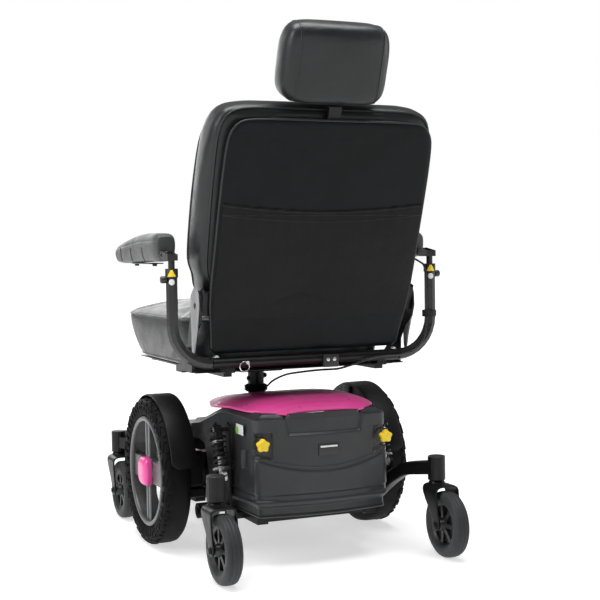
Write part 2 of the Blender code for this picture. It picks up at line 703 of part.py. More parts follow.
def seat_lock_pin(lift):
    """A pull pin with a ring, through the back of the seat's cross tube."""
    x, z, ring_radius = LOCK_PIN_X, CROSS_TUBE[1], 0.0115
    slide = axis_empty("lock_pin_axis", (x, 0.2985, z), lift)
    pin = rod((x, 0.2725, z), (x, 0.3010, z), 0.0040)
    ring = turned([(ring_radius + 0.0014 * math.cos(a), 0.0014 * math.sin(a))
                   for a in (math.pi * (0.5 - i / 3) for i in range(6))],
                  (x + 0.0073, 0.2985, z - 0.0089), (0, 1, 0), 20, ring=True)
    piece("seat_lock_pin", join(ring, pin), STEEL, slide)


def recline_lever(lift):
    y, z = 0.212, 0.480
    pivot = axis_empty("recline_lever_axis", (0.272, y, z), lift)
    lever = plate([(0.224, 0.474), (0.224, 0.487), (0.216, 0.492), (0.200, 0.490), (0.120, 0.478),
                   (0.108, 0.470), (0.110, 0.462), (0.124, 0.460), (0.204, 0.469)], 0.2685, 0.2735)
    cut(lever, rod((0.260, y, z), (0.280, y, z), 0.0046))
    piece("recline_lever", lever, BLACK_PLASTIC, pivot)


def seat_cushion(lift):
    heights = [(0.437, 0.236, -0.300, 0.190), (0.450, 0.252, -0.322, 0.204),
               (0.500, 0.258, -0.372, 0.210), (0.540, 0.256, -0.396, 0.200),
               (0.560, 0.246, -0.388, 0.176), (CUSHION_TOP, 0.220, -0.350, 0.140)]
    cushion = loft([rounded_loop(half, front, back, height, 6.0)
                    for height, half, front, back in heights])
    piece("seat_cushion", cushion, VINYL, lift)


def armrest(name, side, lift):
    x = side * ARM_X
    slide = axis_empty(f"arm_width_axis_{name}", (x, *CROSS_TUBE), lift)
    path = rounded_path([(x, CROSS_TUBE[0], ARM_TUBE_TOP), (x, *CROSS_TUBE),
                         (side * 0.2000, *CROSS_TUBE)], ARM_BEND - 0.0015, 8)
    arm = solid_tube(path[:-1], ARM_TUBE_RADIUS, 2)
    join(arm, rod((side * 0.245, *CROSS_TUBE), (side * 0.166, *CROSS_TUBE), 0.0094))
    cut(arm, rod((x, CROSS_TUBE[0], 0.590), (x, CROSS_TUBE[0], 0.680), 0.0080))
    piece(f"arm_tube_{name}", arm, BLACK_PAINT, slide)

    y = CROSS_TUBE[0]
    height = axis_empty(f"arm_height_axis_{name}", (x, y, ARM_TUBE_TOP), slide)
    stem = rod((x, y, 0.594), (x, y, 0.697), 0.0075)
    cheek = [(0.232, 0.699), (0.236, 0.710), (0.246, 0.711), (0.290, 0.704), (0.290, 0.690),
             (0.250, 0.690), (0.236, 0.696)]
    join(stem, block((x - 0.0095, 0.270, 0.690), (x + 0.0095, 0.290, 0.704)),
         plate(cheek, x - 0.0120, x - 0.0085), plate(cheek, x + 0.0085, x + 0.0120),
         rod((x - 0.0135, *PAD_PIVOT), (x + 0.0135, *PAD_PIVOT), 0.0040))
    piece(f"arm_stem_{name}", stem, STEEL, height)

    flip = axis_empty(f"arm_pad_axis_{name}", (x, *PAD_PIVOT), height)
    inner, outer = side * PAD_INNER_X, side * PAD_OUTER_X
    middle, half = (inner + outer) / 2, abs(outer - inner) / 2

    def section(y, low, high, grow=1.0):
        wide = half * grow
        return [(middle - wide * 0.80, y, low), (middle + wide * 0.80, y, low),
                (middle + wide, y, low + 0.012), (middle + wide, y, high - 0.022),
                (middle + wide * 0.72, y, high - 0.004), (middle, y, high),
                (middle - wide * 0.72, y, high - 0.004), (middle - wide, y, high - 0.022),
                (middle - wide, y, low + 0.012)]

    pad = loft([section(-0.122, 0.694, 0.714, 0.72), section(-0.112, 0.684, 0.722, 0.94),
                section(-0.060, 0.682, 0.734), section(0.060, 0.685, 0.747),
                section(0.160, 0.686, 0.753), section(0.210, 0.687, 0.753, 0.97),
                section(0.226, 0.692, 0.746, 0.80)])
    tongue = plate([(0.200, 0.696), (0.246, 0.6945), (0.2515, 0.703), (0.246, 0.7105),
                    (0.200, 0.712)], x - 0.0060, x + 0.0060)
    join(pad, tongue)
    cut(pad, rod((x - 0.02, *PAD_PIVOT), (x + 0.02, *PAD_PIVOT), 0.0046))
    piece(f"arm_pad_{name}", pad, PAD_PU, flip)
    return flip


def controller(flip):
    """The joystick box on its bracket, ahead of the right pad."""
    x, y, top = -0.314, -0.190, 0.744
    box = block((x - 0.030, -0.235, 0.700), (x + 0.032, -0.126, top), 0.006, 2)
    join(box, block((x - 0.020, -0.150, 0.672), (x + 0.008, -0.128, 0.705)),
         block((x - 0.020, -0.150, 0.672), (x + 0.008, -0.020, 0.6805)))
    cut(box, rod((x, y, top - 0.009), (x, y, top + 0.004), 0.0190, 20),
        rod((x, -0.144, top - 0.007), (x, -0.144, top + 0.004), 0.0068))
    piece("controller_box", box, BLACK_PLASTIC, flip)

    tilt = axis_empty("joystick_tilt_axis", (x, y, top), flip)
    dome = [(0.0, 0.0165)] + [(0.0165 * math.sin(a), 0.0165 * math.cos(a))
                              for a in (math.radians(22 * i) for i in range(1, 4))]
    dome += [(0.0163, 0.0006), (0.0, 0.0006)]
    boot = turned(dome, (x, y, top), (0, 0, 1), 20)
    piece("joystick_boot", boot, BLACK_PLASTIC, tilt)

    sway = axis_empty("joystick_sway_axis", (x, y, top), tilt)
    stick = rod((x, y, top + 0.0173), (x, y, top + 0.032), 0.0045)
    knob = turned([(0.0, 0.050), (0.007, 0.0495), (0.0105, 0.046), (0.0110, 0.040),
                   (0.0085, 0.031), (0.0, 0.029)], (x, y, top), (0, 0, 1), 14)
    piece("joystick", join(stick, knob), BLACK_PLASTIC, sway)

    press = axis_empty("power_button_axis", (x, -0.144, top), flip)
    button = rod((x, -0.144, top - 0.0035), (x, -0.144, top + 0.0020), 0.0062)
    piece("power_button", button, LIGHT_GREY, press)


# ---------------------------------------------------------------- backrest, in its own leaning frame

def backrest(lift):
    pivot = axis_empty("recline_axis", (0, *RECLINE_PIVOT), lift, -RECLINE_LEAN)
    lean = pivot.matrix_basis.copy()

    frame = block((-0.2605, 0.0125, -0.015), (0.2605, 0.0250, 0.040), place=lean)
    joins = [block((-0.045, 0.0125, -0.010), (0.045, 0.0250, 0.435), place=lean)]
    hinge = [(-0.016, -0.008), (-0.008, -0.016), (0.025, -0.016), (0.025, 0.045),
             (0.008, 0.045), (-0.016, 0.012)]
    for _, side in SIDES:
        joins.append(plate(hinge, side * 0.2590, side * 0.2625, place=lean))
    join(frame, *joins)
    cutters = [rod((side * 0.250, 0, 0), (side * 0.270, 0, 0), 0.0068, place=lean)
               for _, side in SIDES]
    cutters.append(block((-0.0156, 0.0148, 0.280), (0.0156, 0.0232, 0.450), place=lean))
    cut(frame, *cutters)
    piece("back_frame", frame, BLACK_PAINT, pivot)

    levels = [(-0.014, 0.238, -0.098, 0.004), (0.020, 0.251, -0.116, 0.0110),
              (0.050, 0.256, -0.124, 0.0115), (0.085, 0.273, -0.126, 0.0115),
              (0.200, 0.276, -0.124, 0.0115), (0.330, 0.275, -0.120, 0.0115),
              (0.400, 0.268, -0.112, 0.0115), (0.440, 0.250, -0.098, 0.0100),
              (0.4590, 0.215, -0.072, -0.008)]
    cushion = loft([rounded_loop(half, front, back, height, 4.5)
                    for height, half, front, back in levels], lean)
    piece("back_cushion", cushion, VINYL, pivot)

    half_outline = [(0.100, -0.104), (0.225, -0.104), (0.235, -0.094), (0.250, 0.020),
                    (0.250, 0.280), (0.247, 0.380), (0.236, 0.418), (0.205, 0.434),
                    (0.100, 0.4385)]
    outline = half_outline + [(-x, w) for x, w in reversed(half_outline)]
    panel = plate(outline, 0.0272, 0.0335, place=lean, upright="Y")
    piece("back_panel", panel, BLACK_PLASTIC, pivot)

    pocket = plate([(0.240, -0.021), (0.243, 0.248), (0.120, 0.236), (0.0, 0.230),
                    (-0.120, 0.236), (-0.243, 0.248), (-0.240, -0.021)],
                   0.0339, 0.0390, place=lean, upright="Y")
    piece("back_pocket", pocket, POCKET, pivot)

    rise = axis_empty("headrest_axis", lean @ Vector((0, 0.019, 0.450)), pivot, -RECLINE_LEAN)
    post = block((-0.0150, 0.0153, 0.350), (0.0150, 0.0227, 0.4657), place=lean)
    piece("headrest_post", post, STEEL, rise)
    levels = [(0.466, 0.100, -0.060, 0.026), (0.476, 0.118, -0.080, 0.029),
              (0.500, 0.128, -0.090, 0.031), (0.600, 0.127, -0.088, 0.030),
              (0.626, 0.118, -0.078, 0.026), (0.640, 0.095, -0.052, 0.010)]
    head = loft([rounded_loop(half, front, back, height, 4.0)
                 for height, half, front, back in levels], lean)
    piece("headrest", head, VINYL, rise)


# ---------------------------------------------------------------- footrest and cables

def footplate():
    pivot = axis_empty("footplate_axis", (0, *FOOT_PIVOT))
    foot = block((-0.138, FOOT_FRONT, 0.078), (0.138, -0.426, 0.086), 0.003)
    for _, side in SIDES:
        knuckle = plate([(-0.436, 0.080), (-0.416, 0.091), (-0.400, 0.095), (-0.400, 0.105),
                         (-0.410, 0.110), (-0.420, 0.106), (-0.450, 0.084)],
                        side * 0.0590, side * 0.0730)
        join(foot, knuckle)
    cut(foot, rod((-0.090, *FOOT_PIVOT), (0.090, *FOOT_PIVOT), 0.0058))
    piece("footplate", foot, BLACK_PAINT, pivot)


BASE_CABLE_ROUTE = [(-0.010, 0.004, 0.3680), (-0.016, 0.030, 0.384), (-0.030, 0.080, 0.402),
                    (-0.046, 0.150, 0.414), (-0.062, 0.215, 0.423), (-0.084, 0.264, 0.4285),
                    (-0.106, 0.286, 0.4370), (-0.135, 0.2985, 0.447), (-0.175, 0.3000, 0.456),
                    (-0.2345, 0.3000, 0.4575)]
ARM_CABLE_ROUTE = [(-0.2353, 0.3000, 0.4575), (-0.268, 0.3000, 0.465), (-0.298, 0.3000, 0.486),
                   (-0.318, 0.2995, 0.520), (-0.325, 0.2985, 0.560), (-0.325, 0.2980, 0.610),
                   (-0.324, 0.2980, 0.645), (-0.316, 0.2950, 0.664), (-0.304, 0.2860, 0.672)]
CABLE_RADIUS = 0.0025


def cables(lift, right_slide):
    piece("base_cable", tube(smooth_route(BASE_CABLE_ROUTE, 3), CABLE_RADIUS), CABLE_JACKET, lift)
    piece("arm_cable", tube(smooth_route(ARM_CABLE_ROUTE, 3), CABLE_RADIUS), CABLE_JACKET,
          right_slide)


def main():
    base()
    for name, side in SIDES:
        drive_unit(name, side)
        rear_arm(name, side)
        shock(name, side)
    lift = axis_empty("seat_lift_axis", (0, POST_Y, PAN_LOW))
    seat_frame(lift)
    seat_lock_pin(lift)
    recline_lever(lift)
    seat_cushion(lift)
    backrest(lift)
    for name, side in SIDES:
        flip = armrest(name, side, lift)
    controller(flip)
    footplate()
    cables(lift, bpy.data.objects["arm_width_axis_right"])


main()
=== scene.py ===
"""The looks of a six-wheel power wheelchair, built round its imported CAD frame.

Metres, Z up. The chair faces -Y and its own left is +X.
"""

import json
import math
import random

import bmesh
import bpy
from mathutils import Matrix, Vector
from mathutils.bvhtree import BVHTree


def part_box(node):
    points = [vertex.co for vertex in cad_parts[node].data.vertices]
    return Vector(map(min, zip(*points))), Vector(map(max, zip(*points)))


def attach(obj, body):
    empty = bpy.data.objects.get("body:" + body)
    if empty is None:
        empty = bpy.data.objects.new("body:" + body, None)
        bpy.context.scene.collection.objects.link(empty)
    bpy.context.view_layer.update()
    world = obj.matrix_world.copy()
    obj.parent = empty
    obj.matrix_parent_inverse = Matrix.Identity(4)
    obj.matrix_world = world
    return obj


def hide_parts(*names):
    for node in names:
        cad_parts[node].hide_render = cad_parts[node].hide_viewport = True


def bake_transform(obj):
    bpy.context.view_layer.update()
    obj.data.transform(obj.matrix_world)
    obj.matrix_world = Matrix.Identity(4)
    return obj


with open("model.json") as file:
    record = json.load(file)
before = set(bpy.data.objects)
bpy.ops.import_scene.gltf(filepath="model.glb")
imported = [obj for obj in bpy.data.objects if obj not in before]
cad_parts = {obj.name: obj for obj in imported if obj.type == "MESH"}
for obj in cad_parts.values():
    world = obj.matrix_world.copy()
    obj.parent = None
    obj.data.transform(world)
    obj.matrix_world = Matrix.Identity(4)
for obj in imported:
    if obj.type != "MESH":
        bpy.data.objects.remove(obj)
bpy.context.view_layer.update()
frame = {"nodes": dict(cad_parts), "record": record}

# The drive axle stands this far behind the middle of the chair's length.
AXLE_Y = (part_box("drive_rim_left")[0].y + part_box("drive_rim_left")[1].y) / 2
SIDES = (("left", 1), ("right", -1))


def at_axle(x, y, z):
    """A point given from the floor under the drive axle."""
    return Vector((x, y + AXLE_Y, z))


# ---------------------------------------------------------------- camera, floor and light

def place_camera():
    data = bpy.data.cameras.new("camera")
    data.lens = 75.4
    data.sensor_width = 36.0
    camera = bpy.data.objects.new("camera", data)
    bpy.context.scene.collection.objects.link(camera)
    yaw, pitch, roll = math.radians(156.541), math.radians(2.292), math.radians(-0.834)
    back = Vector((math.sin(yaw) * math.cos(pitch), -math.cos(yaw) * math.cos(pitch),
                   math.sin(pitch)))
    level = (-back).cross(Vector((0, 0, 1))).normalized()
    upright = level.cross(-back)
    right = math.cos(roll) * level + math.sin(roll) * upright
    up = -math.sin(roll) * level + math.cos(roll) * upright
    turn = Matrix((right, up, back)).transposed().to_4x4()
    camera.matrix_world = Matrix.Translation((1.17040, 2.98784, 0.70997)) @ turn
    bpy.context.scene.camera = camera


def area_light(name, place, aim, size, power):
    data = bpy.data.lights.new(name, "AREA")
    data.shape = "RECTANGLE"
    data.size, data.size_y = size
    data.energy = power
    lamp = bpy.data.objects.new(name, data)
    bpy.context.scene.collection.objects.link(lamp)
    away = Vector(place) - Vector(aim)
    turn = away.to_track_quat("Z", "Y").to_matrix().to_4x4()
    lamp.matrix_world = Matrix.Translation(place) @ turn


def studio():
    world = bpy.data.worlds.new("studio")
    world.use_nodes = True
    bpy.context.scene.world = world
    tree = world.node_tree
    light = tree.nodes["Background"]
    light.inputs["Color"].default_value = (1.0, 1.0, 1.0, 1.0)
    light.inputs["Strength"].default_value = 0.14
    seen = tree.nodes.new("ShaderNodeBackground")
    seen.inputs["Color"].default_value = (1.0, 1.0, 1.0, 1.0)
    seen.inputs["Strength"].default_value = 1.0
    path = tree.nodes.new("ShaderNodeLightPath")
    mix = tree.nodes.new("ShaderNodeMixShader")
    tree.links.new(path.outputs["Is Camera Ray"], mix.inputs[0])
    tree.links.new(light.outputs[0], mix.inputs[1])
    tree.links.new(seen.outputs[0], mix.inputs[2])
    tree.links.new(mix.outputs[0], tree.nodes["World Output"].inputs["Surface"])
    area_light("overhead", (0.2, 0.5, 3.4), (0.0, 0.1, 0.5), (3.0, 2.0), 150.0)
    area_light("key", (3.2, 0.6, 2.1), (0.1, 0.1, 0.7), (1.5, 1.8), 52.0)
    area_light("front_card", (0.2, -3.5, 1.8), (0.0, 0.0, 0.6), (3.0, 2.0), 45.0)
    area_light("right_edge", (-2.8, 0.9, 1.5), (0.0, 0.1, 0.6), (0.8, 1.8), 12.0)
    bpy.context.scene.view_settings.view_transform = "Standard"


# ---------------------------------------------------------------- materials

class Recipe:
    """A material under construction: its node tree, its shader and where the pattern is read."""

    def __init__(self, name):
        self.material = bpy.data.materials.new(name)
        self.material.use_nodes = True
        self.tree = self.material.node_tree
        self.shader = self.tree.nodes["Principled BSDF"]
        self.where = self.node("ShaderNodeTexCoord").outputs["Object"]

    def node(self, kind, inputs=(), **settings):
        made = self.tree.nodes.new(kind)
        for key, value in settings.items():
            setattr(made, key, value)
        for key, value in dict(inputs).items():
            if isinstance(value, bpy.types.NodeSocket):
                self.tree.links.new(value, made.inputs[key])
            else:
                made.inputs[key].default_value = value
        return made

    def noise(self, scale, detail=3.0, rough=0.55, where=None):
        return self.node("ShaderNodeTexNoise", {
            "Vector": where or self.where, "Scale": scale, "Detail": detail,
            "Roughness": rough}).outputs["Fac"]

    def cells(self, scale, feature="F1", where=None):
        return self.node("ShaderNodeTexVoronoi", {"Vector": where or self.where, "Scale": scale},
                         feature=feature).outputs["Distance"]

    def spread(self, value, low, high, start=0.0, end=1.0):
        return self.node("ShaderNodeMapRange", {
            "Value": value, "From Min": start, "From Max": end,
            "To Min": low, "To Max": high}).outputs["Result"]

    def math(self, operation, a, b=0.0):
        return self.node("ShaderNodeMath", {0: a, 1: b}, operation=operation).outputs[0]

    def mixed(self, share, low, high):
        mix = self.node("ShaderNodeMix", data_type="RGBA")
        for index, value in ((0, share), (6, low), (7, high)):
            if isinstance(value, bpy.types.NodeSocket):
                self.tree.links.new(value, mix.inputs[index])
            else:
                mix.inputs[index].default_value = value
        return mix.outputs[2]

    def stretched(self, scale):
        return self.node("ShaderNodeMapping", {"Vector": self.where, "Scale": scale}).outputs[0]

    def set(self, **inputs):
        for key, value in inputs.items():
            socket = self.shader.inputs[key.replace("_", " ")]
            if isinstance(value, bpy.types.NodeSocket):
                self.tree.links.new(value, socket)
            else:
                socket.default_value = value

    def bump(self, height, depth, under=None):
        inputs = {"Height": height, "Distance": depth, "Strength": 1.0}
        if under is not None:
            inputs["Normal"] = under
        return self.node("ShaderNodeBump", inputs).outputs["Normal"]

    def rounded(self, radius):
        return self.node("ShaderNodeBevel", {"Radius": radius}, samples=4).outputs["Normal"]


def tint(colour, factor):
    return (*(min(1.0, c * factor) for c in colour), 1.0)


def plain(name, colour, roughness, metallic=0.0, vary=0.22, grain=900.0, depth=0.00004,
          edge=0.0, coat=0.0, specular=0.5, scuffs=0.0):
    """Moulded or painted: mottled colour, uneven polish, a fine grain, softened edges with a
    painted highlight along them, in patches.
    """
    made = Recipe(name)
    broad = made.noise(7.0, 4.0)
    colour_out = made.mixed(made.spread(broad, 0.0, 1.0, 0.3, 0.7),
                            tint(colour, 1.0 - vary), tint(colour, 1.0 + vary))
    rough_out = made.spread(made.noise(38.0, 5.0, 0.6), roughness - 0.07, roughness + 0.09,
                            0.3, 0.7)
    under = None
    if edge:
        under = made.rounded(edge)
        facing = made.node("ShaderNodeVectorMath", {
            0: under, 1: made.node("ShaderNodeNewGeometry").outputs["Normal"]},
            operation="DOT_PRODUCT").outputs["Value"]
        # Painted highlight: the colour turns lighter on the rounded edges, broken into patches by
        # noise.
        edge_highlight = made.math("MULTIPLY", made.spread(facing, 1.0, 0.0, 0.80, 0.985),
                           made.spread(made.noise(60.0, 4.0), 0.0, 1.0, 0.42, 0.62))
        colour_out = made.mixed(edge_highlight, colour_out, tint(colour, 2.2))
    if scuffs:
        lines = made.noise(26.0, 6.0, 0.75, made.stretched((1.0, 9.0, 2.0)))
        colour_out = made.mixed(made.spread(lines, 0.0, scuffs, 0.62, 0.72), colour_out,
                                tint(colour, 1.9))
    made.set(Base_Color=colour_out, Roughness=rough_out, Metallic=metallic,
             Normal=made.bump(made.noise(grain, 2.0), depth, under),
             Coat_Weight=coat, Coat_Roughness=0.08, Specular_IOR_Level=specular)
    return made.material


def vinyl(name, colour, roughness, specular=0.35):
    """Upholstery vinyl: pebbled grain, faint pull creases and a satin sheen."""
    made = Recipe(name)
    pebble = made.cells(620.0, "SMOOTH_F1")
    fine = made.noise(1500.0, 2.0)
    creases = made.noise(16.0, 3.0, 0.5, made.stretched((1.0, 1.0, 2.4)))
    height = made.math("ADD", made.math("MULTIPLY", pebble, 0.8), made.math("MULTIPLY", fine, 0.25))
    broad = made.noise(5.0, 3.0)
    made.set(Base_Color=made.mixed(made.spread(broad, 0.0, 1.0, 0.35, 0.65),
                                   tint(colour, 0.80), tint(colour, 1.22)),
             Roughness=made.spread(made.noise(24.0, 4.0), roughness - 0.06, roughness + 0.08,
                                   0.3, 0.7),
             Normal=made.bump(height, 0.00010, made.bump(creases, 0.0012)),
             Sheen_Weight=0.05, Sheen_Roughness=0.45, Specular_IOR_Level=specular)
    return made.material


def woven(name, colour, roughness, pitch=1300.0, sheen=0.08):
    """Woven polyester: two crossing sets of threads, some threads a little lighter."""
    made = Recipe(name)
    across = made.node("ShaderNodeTexWave", {
        "Vector": made.where, "Scale": pitch / 6.3, "Distortion": 0.6, "Detail": 1.0},
        bands_direction="X").outputs["Fac"]
    upward = made.node("ShaderNodeTexWave", {
        "Vector": made.where, "Scale": pitch / 6.3, "Distortion": 0.6, "Detail": 1.0},
        bands_direction="Z").outputs["Fac"]
    threads = made.math("MAXIMUM", across, upward)
    streak = made.noise(90.0, 3.0, 0.6, made.stretched((6.0, 1.0, 0.5)))
    broad = made.noise(6.0, 3.0)
    base = made.mixed(made.spread(broad, 0.0, 1.0, 0.35, 0.65), tint(colour, 0.78),
                      tint(colour, 1.2))
    made.set(Base_Color=made.mixed(made.spread(streak, 0.0, 0.5, 0.5, 0.8), base,
                                   tint(colour, 1.7)),
             Roughness=made.spread(threads, roughness + 0.08, roughness - 0.08),
             Normal=made.bump(threads, 0.00012, made.bump(made.noise(22.0, 3.0), 0.0022)),
             Sheen_Weight=sheen, Sheen_Roughness=0.5, Specular_IOR_Level=0.16)
    return made.material


def rubber(name, colour, roughness, dust=0.35, specular=0.2):
    """Moulded rubber: powdery lighter patches, flow lines and fine pits."""
    made = Recipe(name)
    patches = made.noise(13.0, 5.0, 0.6)
    base = made.mixed(made.spread(patches, 0.0, dust, 0.45, 0.75), tint(colour, 0.9),
                      tint(colour, 2.6))
    height = made.math("ADD", made.noise(700.0, 3.0), made.math("MULTIPLY", made.cells(260.0), 0.4))
    made.set(Base_Color=base,
             Roughness=made.spread(made.noise(30.0, 4.0), roughness - 0.08, roughness + 0.08,
                                   0.3, 0.7),
             Normal=made.bump(height, 0.00012), Specular_IOR_Level=specular)
    return made.material


def bright(name, colour, roughness, lines=(1.0, 1.0, 14.0)):
    """Plated or turned steel: drawn lines and small dull spots."""
    made = Recipe(name)
    drawn = made.noise(190.0, 3.0, 0.6, made.stretched(lines))
    spots = made.noise(45.0, 5.0, 0.7)
    made.set(Base_Color=made.mixed(made.spread(spots, 0.0, 0.6, 0.55, 0.8), tint(colour, 1.0),
                                   tint(colour, 0.55)),
             Metallic=1.0,
             Roughness=made.spread(drawn, roughness - 0.07, roughness + 0.12, 0.3, 0.7),
             Normal=made.bump(drawn, 0.00003, made.rounded(0.0006)))
    return made.material


BLACK_PAINT = plain("black_paint", (0.0060, 0.0060, 0.0064), 0.34, 0.0, edge=0.0012, specular=0.26)
SATIN_TUBE = plain("satin_tube", (0.020, 0.020, 0.021), 0.30, 0.20, grain=420.0, coat=0.10)
SHELL = plain("shell_plastic", (0.034, 0.035, 0.036), 0.46, vary=0.12, grain=1300.0, depth=0.00010)
SHELL_LOW = plain("shroud_plastic", (0.028, 0.029, 0.031), 0.38, vary=0.10, grain=1300.0,
                  depth=0.00009, edge=0.0008, specular=0.4)
FENDER = plain("fender_plastic", (0.0060, 0.0062, 0.0066), 0.46, vary=0.15, grain=1300.0,
               depth=0.00009, edge=0.0008, specular=0.22)
PINK = plain("pink_gloss", (0.78, 0.070, 0.320), 0.34, vary=0.05, grain=240.0, depth=0.000012,
             coat=0.25)
YELLOW = plain("yellow_plastic", (0.86, 0.60, 0.015), 0.36, vary=0.10, edge=0.0006)
TYRE = rubber("tyre_rubber", (0.0042, 0.0042, 0.0044), 0.60, specular=0.12)
CASTER = rubber("caster_rubber", (0.038, 0.039, 0.041), 0.50, dust=0.22)
RIM = plain("rim_grey", (0.105, 0.107, 0.110), 0.34, 0.35, vary=0.10, edge=0.0010, scuffs=0.25)
STEEL = bright("bright_steel", (0.60, 0.60, 0.61), 0.24)
CAST = plain("cast_aluminium", (0.34, 0.34, 0.35), 0.50, 0.85, grain=260.0, depth=0.0002)
GREY_PAINT = plain("light_grey_paint", (0.30, 0.30, 0.31), 0.38, 0.1, edge=0.0008)
BLACK_PLASTIC = plain("black_plastic", (0.017, 0.017, 0.018), 0.40, grain=1100.0, depth=0.00008,
                      edge=0.0008)
BATTERY = plain("battery_case", (0.035, 0.036, 0.040), 0.55, grain=600.0, depth=0.00012, edge=0.001)
VINYL = vinyl("black_vinyl", (0.0130, 0.0140, 0.0150), 0.34)
PANEL = vinyl("back_shell", (0.0030, 0.0038, 0.0046), 0.42, specular=0.14)
POCKET = woven("pocket_fabric", (0.0070, 0.0068, 0.0072), 0.66)
PIPING = vinyl("piping_vinyl", (0.016, 0.017, 0.018), 0.38)
PAD = vinyl("pad_urethane", (0.060, 0.061, 0.063), 0.42)
SOFT = rubber("soft_rubber", (0.016, 0.016, 0.017), 0.55, dust=0.1)
BUTTON = plain("button_grey", (0.16, 0.16, 0.17), 0.4, edge=0.0004)
CABLE = plain("cable_jacket", (0.013, 0.013, 0.0135), 0.38, grain=500.0, depth=0.00006)
STITCH = woven("sewing_thread", (0.045, 0.045, 0.047), 0.6, pitch=2600.0)
WHITE = plain("white_label", (0.72, 0.72, 0.72), 0.35, vary=0.04)
GREEN = plain("green_label", (0.22, 0.52, 0.05), 0.35, vary=0.08)

BY_SLOT = {"black_paint": BLACK_PAINT, "battery_case": BATTERY, "cast_aluminium": CAST,
           "shell_plastic": SHELL, "pink_gloss": PINK, "yellow_plastic": YELLOW,
           "tyre_rubber": TYRE, "caster_rubber": CASTER, "rim_grey": RIM, "bright_steel": STEEL,
           "black_plastic": BLACK_PLASTIC, "back_shell": PANEL, "black_vinyl": VINYL,
           "pocket_fabric": POCKET, "pad_urethane": PAD, "soft_rubber": SOFT,
           "button_grey": BUTTON, "cable_jacket": CABLE}

BY_NODE = {"rear_shroud": SHELL_LOW, "front_shroud": SHELL_LOW, "headrest_post": BLACK_PAINT,
           "arm_tube_left": SATIN_TUBE, "arm_tube_right": SATIN_TUBE,
           "arm_stem_left": SATIN_TUBE, "arm_stem_right": SATIN_TUBE}


def floor():
    """Pale and shadow-catching near the chair, rising to plain white well before the horizon."""
    bpy.ops.mesh.primitive_plane_add(size=60.0)
    ground = bpy.context.object
    ground.name = "floor"
    made = Recipe("pale_floor")
    away = made.node("ShaderNodeVectorMath", {0: made.where}, operation="LENGTH").outputs["Value"]
    made.set(Base_Color=made.mixed(made.noise(2.0), (0.60, 0.60, 0.60, 1.0),
                                   (0.63, 0.63, 0.63, 1.0)),
             Roughness=0.9, Normal=made.bump(made.noise(60.0), 0.0002),
             Emission_Color=(1.0, 1.0, 1.0, 1.0),
             Emission_Strength=made.spread(away, 0.58, 1.1, 1.4, 4.5),
             Specular_IOR_Level=0.15)
    ground.data.materials.append(made.material)


def dress_frame():
    """Every CAD node takes its slot's finish."""
    for entry in frame["record"]["subparts"]:
        node = frame["nodes"][entry["node"]]
        finish = BY_NODE.get(entry["node"], BY_SLOT[entry["material_slot"]])
        if not node.material_slots:
            node.data.materials.append(finish)
        for place in node.material_slots:
            place.material = finish


# ---------------------------------------------------------------- shapes

def piece(name, mesh, body, finish, replaces=(), smooth=40.0):
    """A finished mesh as a named piece that rides on a CAD body."""
    obj = bpy.data.objects.new(name, mesh)
    bpy.context.scene.collection.objects.link(obj)
    mesh.materials.append(finish)
    mesh.shade_smooth()
    if smooth:
        mesh.set_sharp_from_angle(angle=math.radians(smooth))
    if body:
        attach(obj, body)
    if replaces:
        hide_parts(*replaces)
    return obj


def walled(bm, name, body, finish, replaces, thickness, offset=-1.0):
    """An open skin as a piece whose wall has this thickness."""
    mesh = bpy.data.meshes.new(name)
    bm.to_mesh(mesh)
    bm.free()
    obj = piece(name, mesh, body, finish, replaces, 0)
    wall = obj.modifiers.new("wall", "SOLIDIFY")
    wall.thickness, wall.offset = thickness, offset
    return applied(obj)


def sticker(name, body, finish, rows):
    """A thin printed patch on the back of a tube."""
    patch = skin(rows, closed=False)
    bmesh.ops.recalc_face_normals(patch, faces=patch.faces)
    if sum(f.normal.y for f in patch.faces) < 0:
        bmesh.ops.reverse_faces(patch, faces=patch.faces)
    walled(patch, name, body, finish, (), 0.0003)


def finished(bm, name="shape", outward=True):
    if outward:
        bmesh.ops.recalc_face_normals(bm, faces=bm.faces)
        if bm.calc_volume(signed=True) < 0:
            bmesh.ops.reverse_faces(bm, faces=bm.faces)
    mesh = bpy.data.meshes.new(name)
    bm.to_mesh(mesh)
    bm.free()
    return mesh


def skin(rings, closed=True, capped=True):
    """Faces through rings that have the same number of points."""
    bm = bmesh.new()
    grid = [[bm.verts.new(point) for point in ring] for ring in rings]
    count = len(grid[0])
    for near, far in zip(grid, grid[1:]):
        for i in range(count if closed else count - 1):
            j = (i + 1) % count
            bm.faces.new((near[i], near[j], far[j], far[i]))
    if capped and closed:
        bm.faces.new(grid[0])
        bm.faces.new(grid[-1])
    return bm


def lathe(profile, centre, axis="X", steps=96, start=0.0, end=360.0):
    """A profile of (radius, distance along the axis) turned about the axis."""
    rings = []
    whole = abs(end - start) >= 360.0
    for i in range(steps if whole else steps + 1):
        angle = math.radians(start + (end - start) * i / steps)
        c, s = math.cos(angle), math.sin(angle)
        ring = []
        for radius, along in profile:
            if axis == "X":
                offset = Vector((along, radius * c, radius * s))
            else:
                offset = Vector((radius * c, radius * s, along))
            ring.append(Vector(centre) + offset)
        rings.append(ring)
    if whole:
        rings.append(rings[0])
    bm = skin(rings, closed=True, capped=not whole)
    bmesh.ops.remove_doubles(bm, verts=bm.verts, dist=0.000005)
    return bm


def frames_along(path):
    """Points of a path with a side and an up direction that don't twist."""
    path = [Vector(point) for point in path]
    side, placed = None, []
    for i, point in enumerate(path):
        along = (path[min(i + 1, len(path) - 1)] - path[max(i - 1, 0)]).normalized()
        if side is None:
            guess = Vector((0, 0, 1)) if abs(along.z) < 0.9 else Vector((1, 0, 0))
            side = guess.cross(along).normalized()
        side = (side - along * side.dot(along)).normalized()
        placed.append((point, along, side, along.cross(side)))
    return placed


